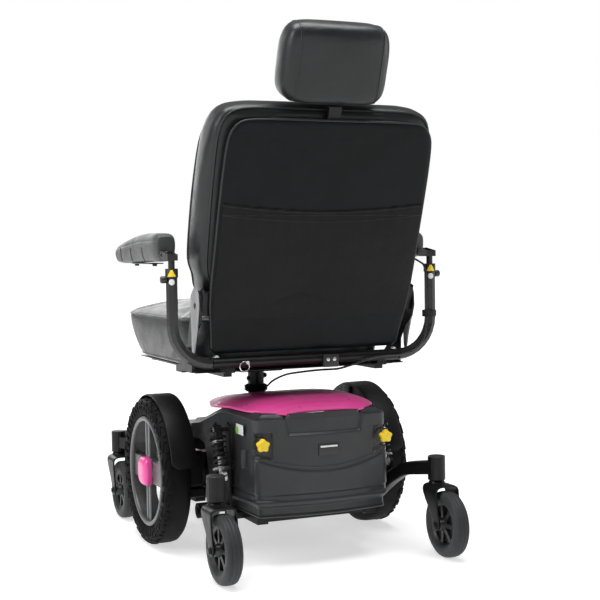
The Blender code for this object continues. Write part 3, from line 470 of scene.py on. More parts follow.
def tube(path, radius, sides=14, flat=1.0):
    """A tube along a path, capped flat at both ends; radius may vary along it."""
    rings = []
    placed = frames_along(path)
    radii = radius if hasattr(radius, "__len__") else [radius] * len(placed)
    for (point, _, side, up), r in zip(placed, radii):
        rings.append([point + r * (math.cos(a) * side + flat * math.sin(a) * up)
                      for a in (2 * math.pi * k / sides for k in range(sides))])
    return skin(rings)


def route(points, steps=8):
    """A smooth line through the points."""
    points = [Vector(point) for point in points]
    padded = [2 * points[0] - points[1], *points, 2 * points[-1] - points[-2]]
    line = []
    for a, b, c, d in zip(padded, padded[1:], padded[2:], padded[3:]):
        for i in range(steps):
            t = i / steps
            line.append(0.5 * (2 * b + (c - a) * t + (2 * a - 5 * b + 4 * c - d) * t ** 2
                               + (3 * b - a - 3 * c + d) * t ** 3))
    line.append(points[-1])
    return line


def merge(*parts):
    """Several bmeshes as one."""
    whole = bmesh.new()
    for part in parts:
        mesh = bpy.data.meshes.new("part")
        part.to_mesh(mesh)
        part.free()
        whole.from_mesh(mesh)
        bpy.data.meshes.remove(mesh)
    return whole


def facing(bm):
    bmesh.ops.recalc_face_normals(bm, faces=bm.faces)
    if bm.calc_volume(signed=True) < 0:
        bmesh.ops.reverse_faces(bm, faces=bm.faces)
    return bm


def slab(centre, size, edge, turn=None, segments=3):
    """A block with rounded edges."""
    bm = bmesh.new()
    bmesh.ops.create_cube(bm, size=1.0)
    bmesh.ops.scale(bm, vec=size, verts=bm.verts)
    bmesh.ops.bevel(bm, geom=list(bm.edges), offset=edge, segments=segments, affect="EDGES",
                    profile=0.5)
    if turn:
        bm.transform(turn.to_4x4())
    bm.transform(Matrix.Translation(centre))
    return bm


def bolt(centre, axis, radius=0.007, height=0.004, socket=True):
    """A hexagon or button head with a washer under it."""
    axis = Vector(axis).normalized()
    turn = Vector((0, 0, 1)).rotation_difference(axis).to_matrix().to_4x4()
    place = Matrix.Translation(centre) @ turn
    washer = lathe([(0.0, 0.0), (radius * 1.35, 0.0), (radius * 1.35, height * 0.25),
                    (radius * 0.9, height * 0.3), (0.0, height * 0.3)], (0, 0, 0), "Z", 20)
    head = bmesh.new()
    sides = 6 if socket else 20
    for z, r in ((height * 0.25, radius), (height * 0.85, radius), (height, radius * 0.82)):
        for k in range(sides):
            a = 2 * math.pi * k / sides
            head.verts.new((r * math.cos(a), r * math.sin(a), z))
    head.verts.ensure_lookup_table()
    for level in range(2):
        for k in range(sides):
            j = (k + 1) % sides
            low, high = level * sides, (level + 1) * sides
            head.faces.new([head.verts[low + k], head.verts[low + j],
                            head.verts[high + j], head.verts[high + k]])
    head.faces.new([head.verts[2 * sides + k] for k in range(sides)])
    head.faces.new([head.verts[k] for k in reversed(range(sides))])
    whole = merge(facing(washer), facing(head))
    whole.transform(place)
    return whole


def between(stations, at):
    """The value at a place, read in straight steps from rising (place, value) pairs."""
    if at <= stations[0][0]:
        return stations[0][1]
    for (a, low), (b, high) in zip(stations, stations[1:]):
        if at <= b:
            t = (at - a) / (b - a)
            return low + (high - low) * t
    return stations[-1][1]


def squircle(count, across, along):
    """Round a softened square: pairs from -1 to 1, squarer as the two powers fall."""
    for i in range(count):
        a = 2 * math.pi * i / count
        c, s = math.cos(a), math.sin(a)
        yield math.copysign(abs(c) ** across, c), math.copysign(abs(s) ** along, s)


def rise(value, start, end):
    """0 before start, 1 after end, and smooth between."""
    t = max(0.0, min(1.0, (value - start) / (end - start)))
    return t * t * (3 - 2 * t)


def band(value, centre, half_width, edge):
    """1 inside a band, 0 outside it, with soft edges."""
    return 1.0 - rise(abs(value - centre), half_width - edge / 2, half_width + edge / 2)


# ---------------------------------------------------------------- soft goods

LEAN = math.radians(19.66)
RECLINE = at_axle(0.0, 0.275, 0.588)


def on_back(x, v, w):
    """A point of the backrest: v behind its hinge line, w up along it."""
    return RECLINE + Vector((x, v * math.cos(LEAN) + w * math.sin(LEAN),
                             w * math.cos(LEAN) - v * math.sin(LEAN)))


def rounded_outline(half, front, back, sharpness, count):
    middle, depth = (front + back) / 2, (back - front) / 2
    return [(half * c, middle + depth * s)
            for c, s in squircle(count, 2 / sharpness, 2 / sharpness)]


def stuffed(levels, place, sharpness=4.2, shrink=0.004, count=96):
    """A closed form through (height, half width, front, back) levels, a little smaller."""
    fronts = route([(height, half, front) for height, half, front, _ in levels], 5)
    backs = route([(height, back, 0.0) for height, _, _, back in levels], 5)
    rings = []
    for (height, half, front), (_, back, _) in zip(fronts, backs):
        rings.append([place(x, y, height) for x, y in rounded_outline(
            half - shrink, front + shrink, back - shrink, sharpness, count)])
    return finished(skin(rings))


def remeshed(obj, voxel):
    change = obj.modifiers.new("remesh", "REMESH")
    change.mode = "VOXEL"
    change.voxel_size = voxel
    return applied(obj)


def applied(obj):
    """The object's mesh with its modifiers worked in."""
    bpy.context.view_layer.update()
    seen = obj.evaluated_get(bpy.context.evaluated_depsgraph_get())
    mesh = bpy.data.meshes.new_from_object(seen)
    obj.modifiers.clear()
    obj.data = mesh
    return obj


def relaxed(obj, rounds, factor=0.5):
    change = obj.modifiers.new("relax", "SMOOTH")
    change.iterations, change.factor = rounds, factor
    return applied(obj)


def puffed(mesh, voxel, cap, held, pressure=4.0, rounds=6):
    """The mesh filled like a cushion; held(point) is true where a seam or base holds it."""
    obj = bpy.data.objects.new("filling", mesh)
    bpy.context.scene.collection.objects.link(obj)
    remeshed(obj, voxel)
    relaxed(obj, rounds)
    rest = [vertex.co.copy() for vertex in obj.data.vertices]
    group = obj.vertex_groups.new(name="held")
    group.add([i for i, co in enumerate(rest) if held(co)], 1.0, "REPLACE")
    cloth = obj.modifiers.new("cloth", "CLOTH")
    settings = cloth.settings
    settings.quality = 5
    settings.mass = 0.35
    settings.tension_stiffness = settings.compression_stiffness = 18.0
    settings.shear_stiffness = 8.0
    settings.bending_stiffness = 2.0
    settings.use_pressure = True
    settings.uniform_pressure_force = pressure
    settings.vertex_group_mass = "held"
    settings.effector_weights.gravity = 0.0
    cloth.point_cache.frame_start, cloth.point_cache.frame_end = 1, 20
    for step in range(1, 21):
        bpy.context.scene.frame_set(step)
    applied(obj)
    bpy.context.scene.frame_set(1)
    for vertex, before in zip(obj.data.vertices, rest):
        moved = vertex.co - before
        if moved.length > cap:
            vertex.co = before + moved * (cap / moved.length)
    relaxed(obj, 2)
    change = obj.modifiers.new("finer", "SUBSURF")
    change.levels = change.render_levels = 1
    applied(obj)
    mesh = obj.data
    bpy.data.objects.remove(obj)
    mesh.materials.clear()
    return mesh


def surface_of(mesh):
    bm = bmesh.new()
    bm.from_mesh(mesh)
    tree = BVHTree.FromBMesh(bm)
    bm.free()
    return tree


def round_the(tree, centre, across, upward, count=160):
    """The closed line in which a plane through the centre meets the surface."""
    line = []
    for i in range(count):
        a = 2 * math.pi * i / count
        ray = (math.cos(a) * Vector(across) + math.sin(a) * Vector(upward)).normalized()
        spot, normal, _, _ = tree.ray_cast(Vector(centre) + ray * 0.6, -ray)
        if spot:
            line.append((spot, normal))
    return line


def piped(line, radius, proud=0.25, closed=True):
    """A sewn cord that follows a line of (point, normal)."""
    points = [spot + normal * radius * proud for spot, normal in line]
    rings = []
    count = len(points)
    for i, (spot, normal) in enumerate(zip(points, (n for _, n in line))):
        ahead = points[(i + 1) % count if closed else min(i + 1, count - 1)]
        behind = points[(i - 1) % count if closed else max(i - 1, 0)]
        along = (ahead - behind).normalized()
        side = normal.cross(along).normalized()
        rings.append([spot + radius * (math.cos(a) * normal + math.sin(a) * side)
                      for a in (2 * math.pi * k / 8 for k in range(8))])
    if closed:
        rings.append(rings[0])
    bm = skin(rings, capped=not closed)
    bmesh.ops.remove_doubles(bm, verts=bm.verts, dist=0.000005)
    return bm


def stitched(line, offset, pitch=0.0042, radius=0.00045, share=0.62):
    """Stitches beside a seam: short threads laid along the line, moved sideways on the surface."""
    parts = bmesh.new()
    spots = [(spot, normal) for spot, normal in line]
    lengths = [0.0]
    for (a, _), (b, _) in zip(spots, spots[1:] + spots[:1]):
        lengths.append(lengths[-1] + (b - a).length)
    total = lengths[-1]
    at, index = 0.0, 0
    while at + pitch < total:
        ends = []
        for distance in (at, at + pitch * share):
            while index < len(spots) - 1 and lengths[index + 1] < distance:
                index += 1
            a, b = spots[index], spots[(index + 1) % len(spots)]
            t = (distance - lengths[index]) / max(1e-9, lengths[index + 1] - lengths[index])
            normal = a[1].lerp(b[1], t).normalized()
            along = (b[0] - a[0]).normalized()
            side = normal.cross(along).normalized()
            ends.append((a[0].lerp(b[0], t) + side * offset + normal * radius * 0.6, side, normal))
        (p, side, normal), (q, _, _) = ends
        corners = [point + radius * (c * side + s * normal) for point in (p, q)
                   for c, s in ((1, 0), (0, 1), (-1, 0))]
        verts = [parts.verts.new(corner) for corner in corners]
        parts.faces.new((verts[0], verts[1], verts[4], verts[3]))
        parts.faces.new((verts[1], verts[2], verts[5], verts[4]))
        at += pitch
    return parts


SEAT_LEVELS = [(0.4375, 0.234, -0.298, 0.188), (0.450, 0.250, -0.320, 0.202),
               (0.500, 0.257, -0.376, 0.209), (0.543, 0.2565, -0.405, 0.199),
               (0.558, 0.251, -0.396, 0.190), (0.566, 0.232, -0.366, 0.165),
               (0.572, 0.180, -0.300, 0.110), (0.574, 0.080, -0.190, 0.010)]
SEAT_SEAM = 0.548


def seat_cushion():
    mesh = stuffed(SEAT_LEVELS, lambda x, y, z: at_axle(x, y, z), 7.0, 0.004)
    mesh = puffed(mesh, 0.0062, 0.012, lambda p: p.z < 0.446 or abs(p.z - SEAT_SEAM) < 0.004)
    for vertex in mesh.vertices:
        vertex.co.z = max(vertex.co.z, 0.4368)
    tree = surface_of(mesh)
    cushion = piece("seat_cushion_cover", mesh, "seat", VINYL, ("seat_cushion",), 0)
    for name, height, radius in (("seat_top_piping", SEAT_SEAM, 0.0026),
                                 ("seat_low_piping", 0.4475, 0.0020)):
        line = round_the(tree, at_axle(0.0, -0.095, height), (1, 0, 0), (0, 1, 0), 220)
        piece(name, finished(piped(line, radius)), "seat", PIPING, smooth=0)
        if height == SEAT_SEAM:
            piece("seat_stitches", finished(stitched(line, 0.0048), outward=False), "seat", STITCH,
                  smooth=0)


BACK_LEVELS = [(-0.013, 0.236, -0.096, 0.003), (0.010, 0.251, -0.112, 0.0095),
               (0.050, 0.259, -0.125, 0.0110), (0.085, 0.272, -0.127, 0.0112),
               (0.200, 0.2765, -0.125, 0.0112), (0.330, 0.2760, -0.113, 0.0112),
               (0.400, 0.270, -0.100, 0.0112), (0.436, 0.254, -0.086, 0.0098),
               (0.452, 0.228, -0.070, 0.0030), (0.4585, 0.190, -0.054, -0.012)]


def back_cushion():
    mesh = stuffed(BACK_LEVELS, on_back, 6.0, 0.004)
    behind = on_back(0, 1, 0) - on_back(0, 0, 0)

    def depth(point):
        return (point - RECLINE).dot(behind)

    mesh = puffed(mesh, 0.0062, 0.012,
                  lambda p: depth(p) > 0.0015 or abs(depth(p) + 0.086) < 0.004, 3.4)
    for vertex in mesh.vertices:
        over = depth(vertex.co) - 0.0115
        if over > 0:
            vertex.co -= behind * over
    tree = surface_of(mesh)
    cushion = piece("back_cushion_cover", mesh, "backrest", VINYL,
                    ("back_cushion",), 0)
    upward = on_back(0, 0, 1) - on_back(0, 0, 0)
    for name, v, radius in (("back_rear_piping", -0.004, 0.0026),
                            ("back_front_piping", -0.086, 0.0024)):
        line = round_the(tree, on_back(0, v, 0.2), (1, 0, 0), upward, 240)
        piece(name, finished(piped(line, radius)), "backrest", PIPING, smooth=0)
        if v < -0.05:
            piece("back_stitches", finished(stitched(line, 0.0046), outward=False), "backrest",
                  STITCH, smooth=0)


HEAD_LEVELS = [(0.4675, 0.090, -0.048, 0.020), (0.474, 0.110, -0.066, 0.027),
               (0.495, 0.1260, -0.077, 0.0302), (0.540, 0.1285, -0.080, 0.0305),
               (0.590, 0.1275, -0.0785, 0.0300), (0.620, 0.120, -0.071, 0.0270),
               (0.636, 0.105, -0.056, 0.0165), (0.642, 0.080, -0.038, 0.002)]


def headrest():
    mesh = stuffed(HEAD_LEVELS, on_back, 3.6, 0.003)
    mesh = puffed(mesh, 0.0045, 0.010, lambda p: abs(abs(p.x) - 0.098) < 0.0035, 4.0)
    tree = surface_of(mesh)
    pillow = piece("headrest_cover", mesh, "headrest", VINYL, ("headrest",), 0)
    upward = on_back(0, 0, 1) - on_back(0, 0, 0)
    behind = on_back(0, 1, 0) - on_back(0, 0, 0)
    for name, side in SIDES:
        line = round_the(tree, on_back(side * 0.098, -0.025, 0.552), behind, upward, 150)
        piece(f"headrest_seam_{name}", finished(piped(line, 0.0016, -0.1)), "headrest", PIPING,
              smooth=0)
        piece(f"headrest_stitches_{name}", finished(stitched(line, -side * 0.0036), outward=False),
              "headrest", STITCH, smooth=0)


PAD_SECTIONS = [(-0.1255, 0.694, 0.716, 0.78), (-0.118, 0.686, 0.7225, 0.93),
                (-0.090, 0.6835, 0.7300, 0.985), (-0.060, 0.683, 0.7355, 1.0),
                (0.000, 0.684, 0.7435, 1.0), (0.060, 0.6855, 0.7495, 1.0),
                (0.120, 0.6865, 0.7525, 1.0), (0.160, 0.687, 0.7520, 1.0),
                (0.205, 0.688, 0.7515, 0.97), (0.2255, 0.694, 0.7450, 0.82)]
PAD_SLOTS = (-0.063, 0.024, 0.120)


def pad_section(y, low, high, grow, count=40):
    """Across one pad at y: a flat base, sides drawn in below and a crowned top."""
    half, ring = 0.0265 * grow, []
    for i in range(count):
        a = 2 * math.pi * i / count
        c, s = math.cos(a), math.sin(a)
        x = half * math.copysign(abs(c) ** 0.42, c)
        z = math.copysign(abs(s) ** (0.42 if s < 0 else 0.62), s)
        narrow = 1.0 - 0.13 * rise(-z, -0.2, 1.0)
        ring.append((x * narrow, y, (low + high) / 2 + z * (high - low) / 2))
    return ring


def arm_pads():
    stations = route([(y, low, high) for y, low, high, _ in PAD_SECTIONS], 6)
    widths = route([(y, grow, 0.0) for y, _, _, grow in PAD_SECTIONS], 6)
    rings = [pad_section(y, low, high, grow) for (y, low, high), (_, grow, _) in
             zip(stations, widths)]

    def seam_height(y):
        return 0.7225 + 0.075 * (y + 0.06) if y < 0.10 else 0.7345

    mesh = puffed(finished(skin(rings)), 0.0034, 0.0035,
                  lambda p: abs(p.z - seam_height(p.y)) < 0.0018 or p.z < 0.690, 3.0, 3)
    for vertex in mesh.vertices:
        co = vertex.co
        for slot in PAD_SLOTS:
            lean = slot + 0.12 * (co.z - 0.70)
            groove = band(co.y, lean, 0.0042, 0.0026) * band(co.z, 0.7040, 0.0150, 0.004)
            if abs(co.x) > 0.014:
                co.x -= math.copysign(0.0055 * groove, co.x)
        crease = math.exp(-((co.z - seam_height(co.y)) / 0.0013) ** 2)
        if co.y < 0.218:
            co.x *= 1.0 - 0.045 * crease
    for name, side in SIDES:
        own = mesh.copy()
        if side < 0:
            own.transform(Matrix.Scale(-1, 4, (1, 0, 0)))
            own.flip_normals()
        middle = side * 0.319
        own.transform(Matrix.Translation(at_axle(middle, 0, 0)))
        body = f"arm_pad_{name}"
        pad = piece(f"arm_pad_cover_{name}", own, body, PAD,
                    (f"arm_pad_{name}",), 0)
        tongue = slab(at_axle(side * 0.325, 0.232, 0.7030), (0.0118, 0.038, 0.0155), 0.0030)
        plate = slab(at_axle(middle, 0.075, 0.6832), (0.034, 0.150, 0.0026), 0.0010)
        piece(f"arm_pad_tongue_{name}", finished(merge(facing(tongue), facing(plate))), body,
              BLACK_PLASTIC)
        bolts = merge(*(facing(bolt(at_axle(middle, y, 0.6830), (0, 0, -1), 0.0055, 0.0062))
                        for y in (-0.012, 0.135)))
        piece(f"arm_pad_bolts_{name}", finished(bolts, outward=False), body, BLACK_PAINT)


PANEL_OUTLINE = [(0.0, -0.1035), (0.200, -0.1035), (0.226, -0.1030), (0.2345, -0.095),
                 (0.2385, -0.060), (0.2465, 0.000), (0.2498, 0.060), (0.2500, 0.150),
                 (0.2500, 0.260), (0.2492, 0.330), (0.2462, 0.382), (0.2405, 0.406),
                 (0.2280, 0.4235), (0.2080, 0.4325), (0.150, 0.4365), (0.0, 0.4378)]


def panel_half_width(w):
    """Half the back panel's width at a height on the back."""
    edge = PANEL_OUTLINE[2:-1]
    return between([(height, half) for half, height in edge], w)


def back_panel():
    """Upholstered hard back: a crowned face, its edges rolled forward."""
    columns, rows = 60, 96
    low, high = -0.1035, 0.4372
    grid = []
    for j in range(rows + 1):
        t = j / rows
        w = low + (high - low) * (0.5 - 0.5 * math.cos(math.pi * t))
        half = panel_half_width(w)
        row = []
        for i in range(columns + 1):
            u = math.sin(math.pi / 2 * (2 * i / columns - 1))
            x = half * u
            gap = min(half - abs(x) + 0.0004, high - w, w - low + 0.004)
            roll = 1.0 - math.sqrt(max(0.0, 1.0 - (1.0 - min(1.0, gap / 0.016)) ** 2))
            pull = 0.0010 * math.sin(x * 34 + w * 11) * math.sin(w * 27) * min(1.0, gap / 0.06)
            v = 0.0330 - 0.0062 * roll + pull * 0.35
            row.append(on_back(x, v, w))
        grid.append(row)
    bm = skin(grid, closed=False)
    bmesh.ops.remove_doubles(bm, verts=bm.verts, dist=0.00001)
    bmesh.ops.recalc_face_normals(bm, faces=bm.faces)
    panel = walled(bm, "back_panel_cover", None, PANEL, ("back_panel",),
                   0.0045, 0.0)
    behind = on_back(0, 1, 0) - on_back(0, 0, 0)
    lowest = min((vertex.co - RECLINE).dot(behind) for vertex in panel.data.vertices)
    panel.data.transform(Matrix.Translation(behind * max(0.0, 0.0268 - lowest)))
    panel.data.shade_smooth()
    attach(panel, "backrest")
    line = [(half - 0.0015, w) for half, w in PANEL_OUTLINE[3:-1]]
    trail = [on_back(x, 0.0315, w) for x, w in line] + \
            [on_back(0.0, 0.0315, 0.4362)] + \
            [on_back(-x, 0.0315, w) for x, w in reversed(line)]
    outwards = [(point, behind) for point in route(trail, 6)]
    piece("back_panel_piping", finished(piped(outwards, 0.0023, 0.0, closed=False)), "backrest",
          PIPING, smooth=0)


def pocket_top(x):
    """Where the pocket's gathered top edge runs, sagging in the middle."""
    return 0.2300 + 0.0170 * (abs(x) / 0.243) ** 1.7


def back_pocket():
    """A gathered pocket: its elastic top puckers, its body hangs in shallow folds."""
    columns, rows = 220, 90
    low = -0.0205
    folds = random.Random(7)
    waves = [(folds.uniform(150, 210), folds.uniform(0, 6), folds.uniform(0.5, 1.0))
             for _ in range(3)]
    drapes = [(folds.uniform(18, 42), folds.uniform(0, 6), folds.uniform(-0.5, 0.5),
               folds.uniform(0.4, 1.0)) for _ in range(6)]
    grid = []
    for j in range(rows + 1):
        t = j / rows
        row = []
        for i in range(columns + 1):
            u = 2 * i / columns - 1
            top = pocket_top(0.243 * u)
            w = low + (top - low) * t
            half = min(0.2425, panel_half_width(w) - 0.0065)
            x = half * u
            side = 1.0 - abs(u) ** 8
            pucker = math.exp(-((1 - t) / 0.14)) * sum(
                a * math.sin(k * x + p) for k, p, a in waves) / 2.2
            drape = sum(a * math.sin(k * (x + lean * (w - 0.1)) + p)
                        for k, p, lean, a in drapes) / 4.2
            belly = 0.0052 * math.sin(math.pi * min(1.0, t * 1.02)) ** 0.8 * side
            v = 0.0368 + side * (0.0012 * pucker + 0.0016 * drape * math.sin(math.pi * t)) + belly
            crease = 0.0016 * math.exp(-((w - 0.040 + 0.9 * (x - 0.03) ** 2 / 0.2) / 0.006) ** 2)
            v -= crease * band(x, 0.03, 0.075, 0.06)
            row.append(on_back(x, v, w + 0.0008 * pucker * t))
        grid.append(row)
    bm = skin(grid, closed=False)
    mesh = bpy.data.meshes.new("pocket")
    bmesh.ops.recalc_face_normals(bm, faces=bm.faces)
    bm.to_mesh(mesh)
    bm.free()
    pocket = piece("back_pocket_cloth", mesh, "backrest", POCKET,
                   ("back_pocket",), 0)
    behind = on_back(0, 1, 0) - on_back(0, 0, 0)
    hem_line = [(point, behind) for point in grid[-1]]
    hem = piece("back_pocket_hem", finished(piped(hem_line, 0.0030, 0.1, closed=False)),
                "backrest", POCKET, smooth=0)
    band_line = [(point + behind * 0.0006, behind) for point in grid[-9]]
    seam = piece("back_pocket_elastic_seam",
                 finished(stitched(band_line, 0.0, 0.0046, 0.0006), outward=False), "backrest",
                 STITCH, smooth=0)


# ---------------------------------------------------------------- base shells

SHROUD_PLAN = [(0.197, 0.008), (0.1865, 0.090), (0.180, 0.130), (0.1705, 0.230), (0.1655, 0.300),
               (0.1625, 0.338), (0.1585, 0.352), (0.150, 0.3595), (0.130, 0.3640), (0.100, 0.3692),
               (0.070, 0.3738), (0.035, 0.3778), (0.0, 0.3790)]
SHROUD_LOW = [(0.008, 0.262), (0.050, 0.258), (0.085, 0.250), (0.097, 0.215), (0.107, 0.170),
              (0.118, 0.138), (0.135, 0.118), (0.400, 0.1125)]
SHROUD_HIGH = [(0.008, 0.296), (0.060, 0.304), (0.110, 0.322), (0.160, 0.340), (0.200, 0.345),
               (0.330, 0.341), (0.400, 0.340)]


def shroud_relief(x, y, z):
    """How far the shroud's skin stands out at a place on it, in metres."""
    reach = abs(x)
    rear = rise(y, 0.335, 0.352)
    lift = 0.0
    ledge = 0.2160 + 1.20 * reach * reach
    lift += 0.0052 * (1.0 - rise(z, ledge - 0.0062, ledge + 0.0062)) * max(rear, 0.25)
    lift += 0.0030 * band(z, ledge + 0.0030, 0.0018, 0.0034) * rear
    bay = (1.0 - rise(reach, 0.0862 + 0.21 * (z - 0.297), 0.0912 + 0.21 * (z - 0.297))) * \
        rise(z, 0.2945, 0.3005) * rear
    lift -= 0.0062 * bay
    floor_line = 0.2420 + 0.33 * (reach - 0.126)
    pocket = rise(reach, 0.1238, 0.1262) * rise(z, floor_line, floor_line + 0.003) * \
        (1.0 - rise(z, 0.3005, 0.3035)) * rise(y, 0.3405, 0.3440)
    lift -= 0.0105 * pocket
    lift += 0.0012 * band(reach, 0.1185, 0.0012, 0.002) * band(z, 0.272, 0.034, 0.006) * rear
    lift -= 0.0016 * band(z, 0.1655, 0.0016, 0.0022)
    lift -= 0.0024 * rise(reach, 0.100, 0.135) * band(z, 0.1590, 0.0058, 0.0024) * rear
    lift += 0.0020 * band(z, 0.1475, 0.0030, 0.0030)
    lift -= 0.0085 * (1.0 - rise(z, 0.1340, 0.1440))
    lift += 0.0022 * band(z, 0.1160, 0.0022, 0.0020)
    slot = band(y, 0.297, 0.0125, 0.003) * band(z, 0.238, 0.021, 0.003)
    lift -= 0.0065 * slot * (1.0 - rear)
    vent = band(y, 0.205, 0.038, 0.004) * (1.0 - rear) * max(
        band(z, height, 0.0022, 0.0016) for height in (0.205, 0.216, 0.227))
    lift -= 0.0030 * vent
    return lift


def rear_shroud():
    """The moulded tub: a U in plan with a stepped rear face, knob pockets and a rolled-in top."""
    half = route([(x, y, 0.0) for x, y in SHROUD_PLAN], 16)
    half = [Vector((p.x, p.y, 0.0)) for p in half]
    half[-1].x = 0.0
    plan = half + [Vector((-p.x, p.y, 0.0)) for p in reversed(half[:-1])]
    columns = []
    for i, point in enumerate(plan):
        along = (plan[min(i + 1, len(plan) - 1)] - plan[max(i - 1, 0)]).normalized()
        out = Vector((-along.y, along.x, 0.0)) * -1
        if out.dot(point - Vector((0, 0.15, 0))) < 0:
            out = -out
        low, high = between(SHROUD_LOW, point.y), between(SHROUD_HIGH, point.y) - 0.0085
        column = []
        for j in range(133):
            z = low + (high - low) * j / 132
            column.append(point + out * shroud_relief(point.x, point.y, z) + Vector((0, 0, z)))
        rear = rise(point.y, 0.335, 0.352)
        inward = 0.0165 * (1 - rear * (1 - rise(abs(point.x), 0.0890, 0.0965)))
        climb = 0.0130
        edge = column[-1].copy()
        for j in range(1, 11):
            t = j / 10
            column.append(edge - out * (inward * t + 0.0006 * t) +
                          Vector((0, 0, climb * (t - 0.18 * math.sin(math.pi * t)))))
        columns.append([at_axle(*p) for p in column])
    bm = skin(columns, closed=False)
    bmesh.ops.recalc_face_normals(bm, faces=bm.faces)
    centre = at_axle(0, 0.379, 0.25)
    nearest = min(bm.faces, key=lambda f: (f.calc_center_median() - centre).length)
    if nearest.normal.y < 0:
        bmesh.ops.reverse_faces(bm, faces=bm.faces)
    shroud = walled(bm, "rear_shroud_moulding", "base", SHELL_LOW,
                    ("rear_shroud",), 0.0028)
    shroud.data.shade_smooth()

    plate = slab(at_axle(-0.0055, 0.3805, 0.2600), (0.0500, 0.0016, 0.0245), 0.0007)
    piece("blank_badge", finished(plate), "base", BLACK_PLASTIC)
    line = slab(at_axle(-0.0055, 0.3814, 0.2672), (0.0420, 0.0008, 0.0040), 0.0003)
    piece("badge_bar", finished(line), "base", WHITE)
    turn = Matrix.Rotation(math.radians(-2.8), 3, "Z")
    label = slab(at_axle(0.1706, 0.2790, 0.3045), (0.0008, 0.0520, 0.0230), 0.0003, turn)
    piece("side_label", finished(label), "base", WHITE)
    spot = lathe([(0.0, 0.0), (0.0085, 0.0), (0.0085, 0.0008), (0.0, 0.0008)],
                 at_axle(0.1708, 0.2635, 0.3010), "X", 28)
    piece("side_label_dot", finished(spot), "base", GREEN)
    screws = merge(*(facing(bolt(at_axle(side * 0.1795, 0.140, z), (side, 0.12, 0), 0.0045, 0.003))
                     for _, side in SIDES for z in (0.180, 0.300)))
    piece("shroud_screws", finished(screws, outward=False), "base", BLACK_PAINT)
    for name, side in SIDES:
        ring = lathe([(0.0150, 0.0), (0.0172, 0.0006), (0.0172, 0.0028), (0.0150, 0.0034),
                      (0.0140, 0.0018)], (0, 0, 0), "Z", 40)
        ring.transform(Matrix.Translation(at_axle(side * 0.152, 0.3490, 0.279)) @
                       Matrix.Rotation(-math.pi / 2, 4, "X"))
        piece(f"knob_seat_{name}", finished(ring), "base", BLACK_PLASTIC)


COVER_HALF = [(-0.1000, 0.1040), (-0.0850, 0.1140), (0.0000, 0.1420), (0.0700, 0.1640),
              (0.1300, 0.1715), (0.2000, 0.1665), (0.2700, 0.1600), (0.3000, 0.1540),
              (0.3300, 0.1330), (0.3500, 0.1100), (0.3600, 0.0960), (0.3640, 0.0860)]
COVER_CREST = [(-0.1000, 0.3380), (-0.0850, 0.3420), (0.0000, 0.3530), (0.0700, 0.3620),
               (0.1300, 0.3700), (0.2000, 0.3745), (0.2900, 0.3728), (0.3250, 0.3690),
               (0.3450, 0.3622), (0.3560, 0.3555), (0.3640, 0.3490)]
COVER_RIM = [(-0.1000, 0.3270), (0.0000, 0.3330), (0.0700, 0.3370), (0.1300, 0.3430),
             (0.2000, 0.3490), (0.3000, 0.3490), (0.3640, 0.3455)]


def top_cover():
    """The gloss lid: a nearly flat top, a rolled rear bevel and an undercut lip all round."""
    halves = route([(y, half, 0.0) for y, half in COVER_HALF], 10)
    rows = []
    for y, half, _ in halves:
        crest, rim = between(COVER_CREST, y), between(COVER_RIM, y)
        row = []
        for i in range(-44, 45):
            u = math.sin(i / 44 * math.pi / 2)
            z = rim + (crest - rim) * (1 - abs(u) ** 4.4)
            row.append(at_axle(u * half, y, z))
        row = [row[0] + Vector((-0.0012, 0, -0.0045)), *row,
               row[-1] + Vector((0.0012, 0, -0.0045))]
        rows.append(row)
    last = [point + Vector((0, 0.0010, -0.0042)) for point in rows[-1]]
    rows.append(last)
    bm = skin(rows, closed=False)
    hole = at_axle(0.0, -0.050, 0.0)
    gone = [f for f in bm.faces if (f.calc_center_median().xy - hole.xy).length < 0.0262]
    bmesh.ops.delete(bm, geom=gone, context="FACES")
    bmesh.ops.recalc_face_normals(bm, faces=bm.faces)
    up = max(bm.faces, key=lambda f: f.calc_center_median().z)
    if up.normal.z < 0:
        bmesh.ops.reverse_faces(bm, faces=bm.faces)
    cover = walled(bm, "top_cover_shell", "base", PINK, ("top_cover",), 0.0026)
    cover.data.shade_smooth()
    folds = [(0.0240, 0.350)]
    for k in range(9):
        folds.append((0.0305 if k % 2 else 0.0278, 0.353 + 0.0017 * k))
    folds += [(0.0240, 0.3690), (0.0222, 0.3690), (0.0222, 0.350)]
    collar = lathe(folds, at_axle(0.0, -0.050, 0.0), "Z", 56)
    piece("post_collar", finished(collar), "base", SOFT)


# ---------------------------------------------------------------- wheels and fenders

WHEEL_R = 0.178
WHEEL_MID = 0.2825


def tyre_profile():
    """(radius, x from the wheel's middle), round the tyre's section."""
    points = [(0.1335, -0.0240), (0.1380, -0.0300), (0.1500, -0.0330), (0.1600, -0.0336),
              (0.1685, -0.0318), (0.1738, -0.0262), (0.1756, -0.0160), (0.1760, 0.0)]
    return points + [(r, -x) for r, x in reversed(points[:-1])]


def on_tyre(angle, across, side, out=0.0):
    """A point on the tyre's shoulder: across runs from 0 at the crown to 1 at the bead."""
    profile = tyre_profile()[7:]
    place = across * (len(profile) - 1)
    index = min(int(place), len(profile) - 2)
    t = place - index
    (r0, x0), (r1, x1) = profile[index], profile[index + 1]
    r, x = r0 + (r1 - r0) * t, x0 + (x1 - x0) * t
    normal_r, normal_x = x1 - x0, r0 - r1
    size = math.hypot(normal_r, normal_x) or 1.0
    r += out * normal_r / size
    x += out * normal_x / size
    return at_axle(side * (WHEEL_MID + x), r * math.cos(angle), WHEEL_R + r * math.sin(angle))


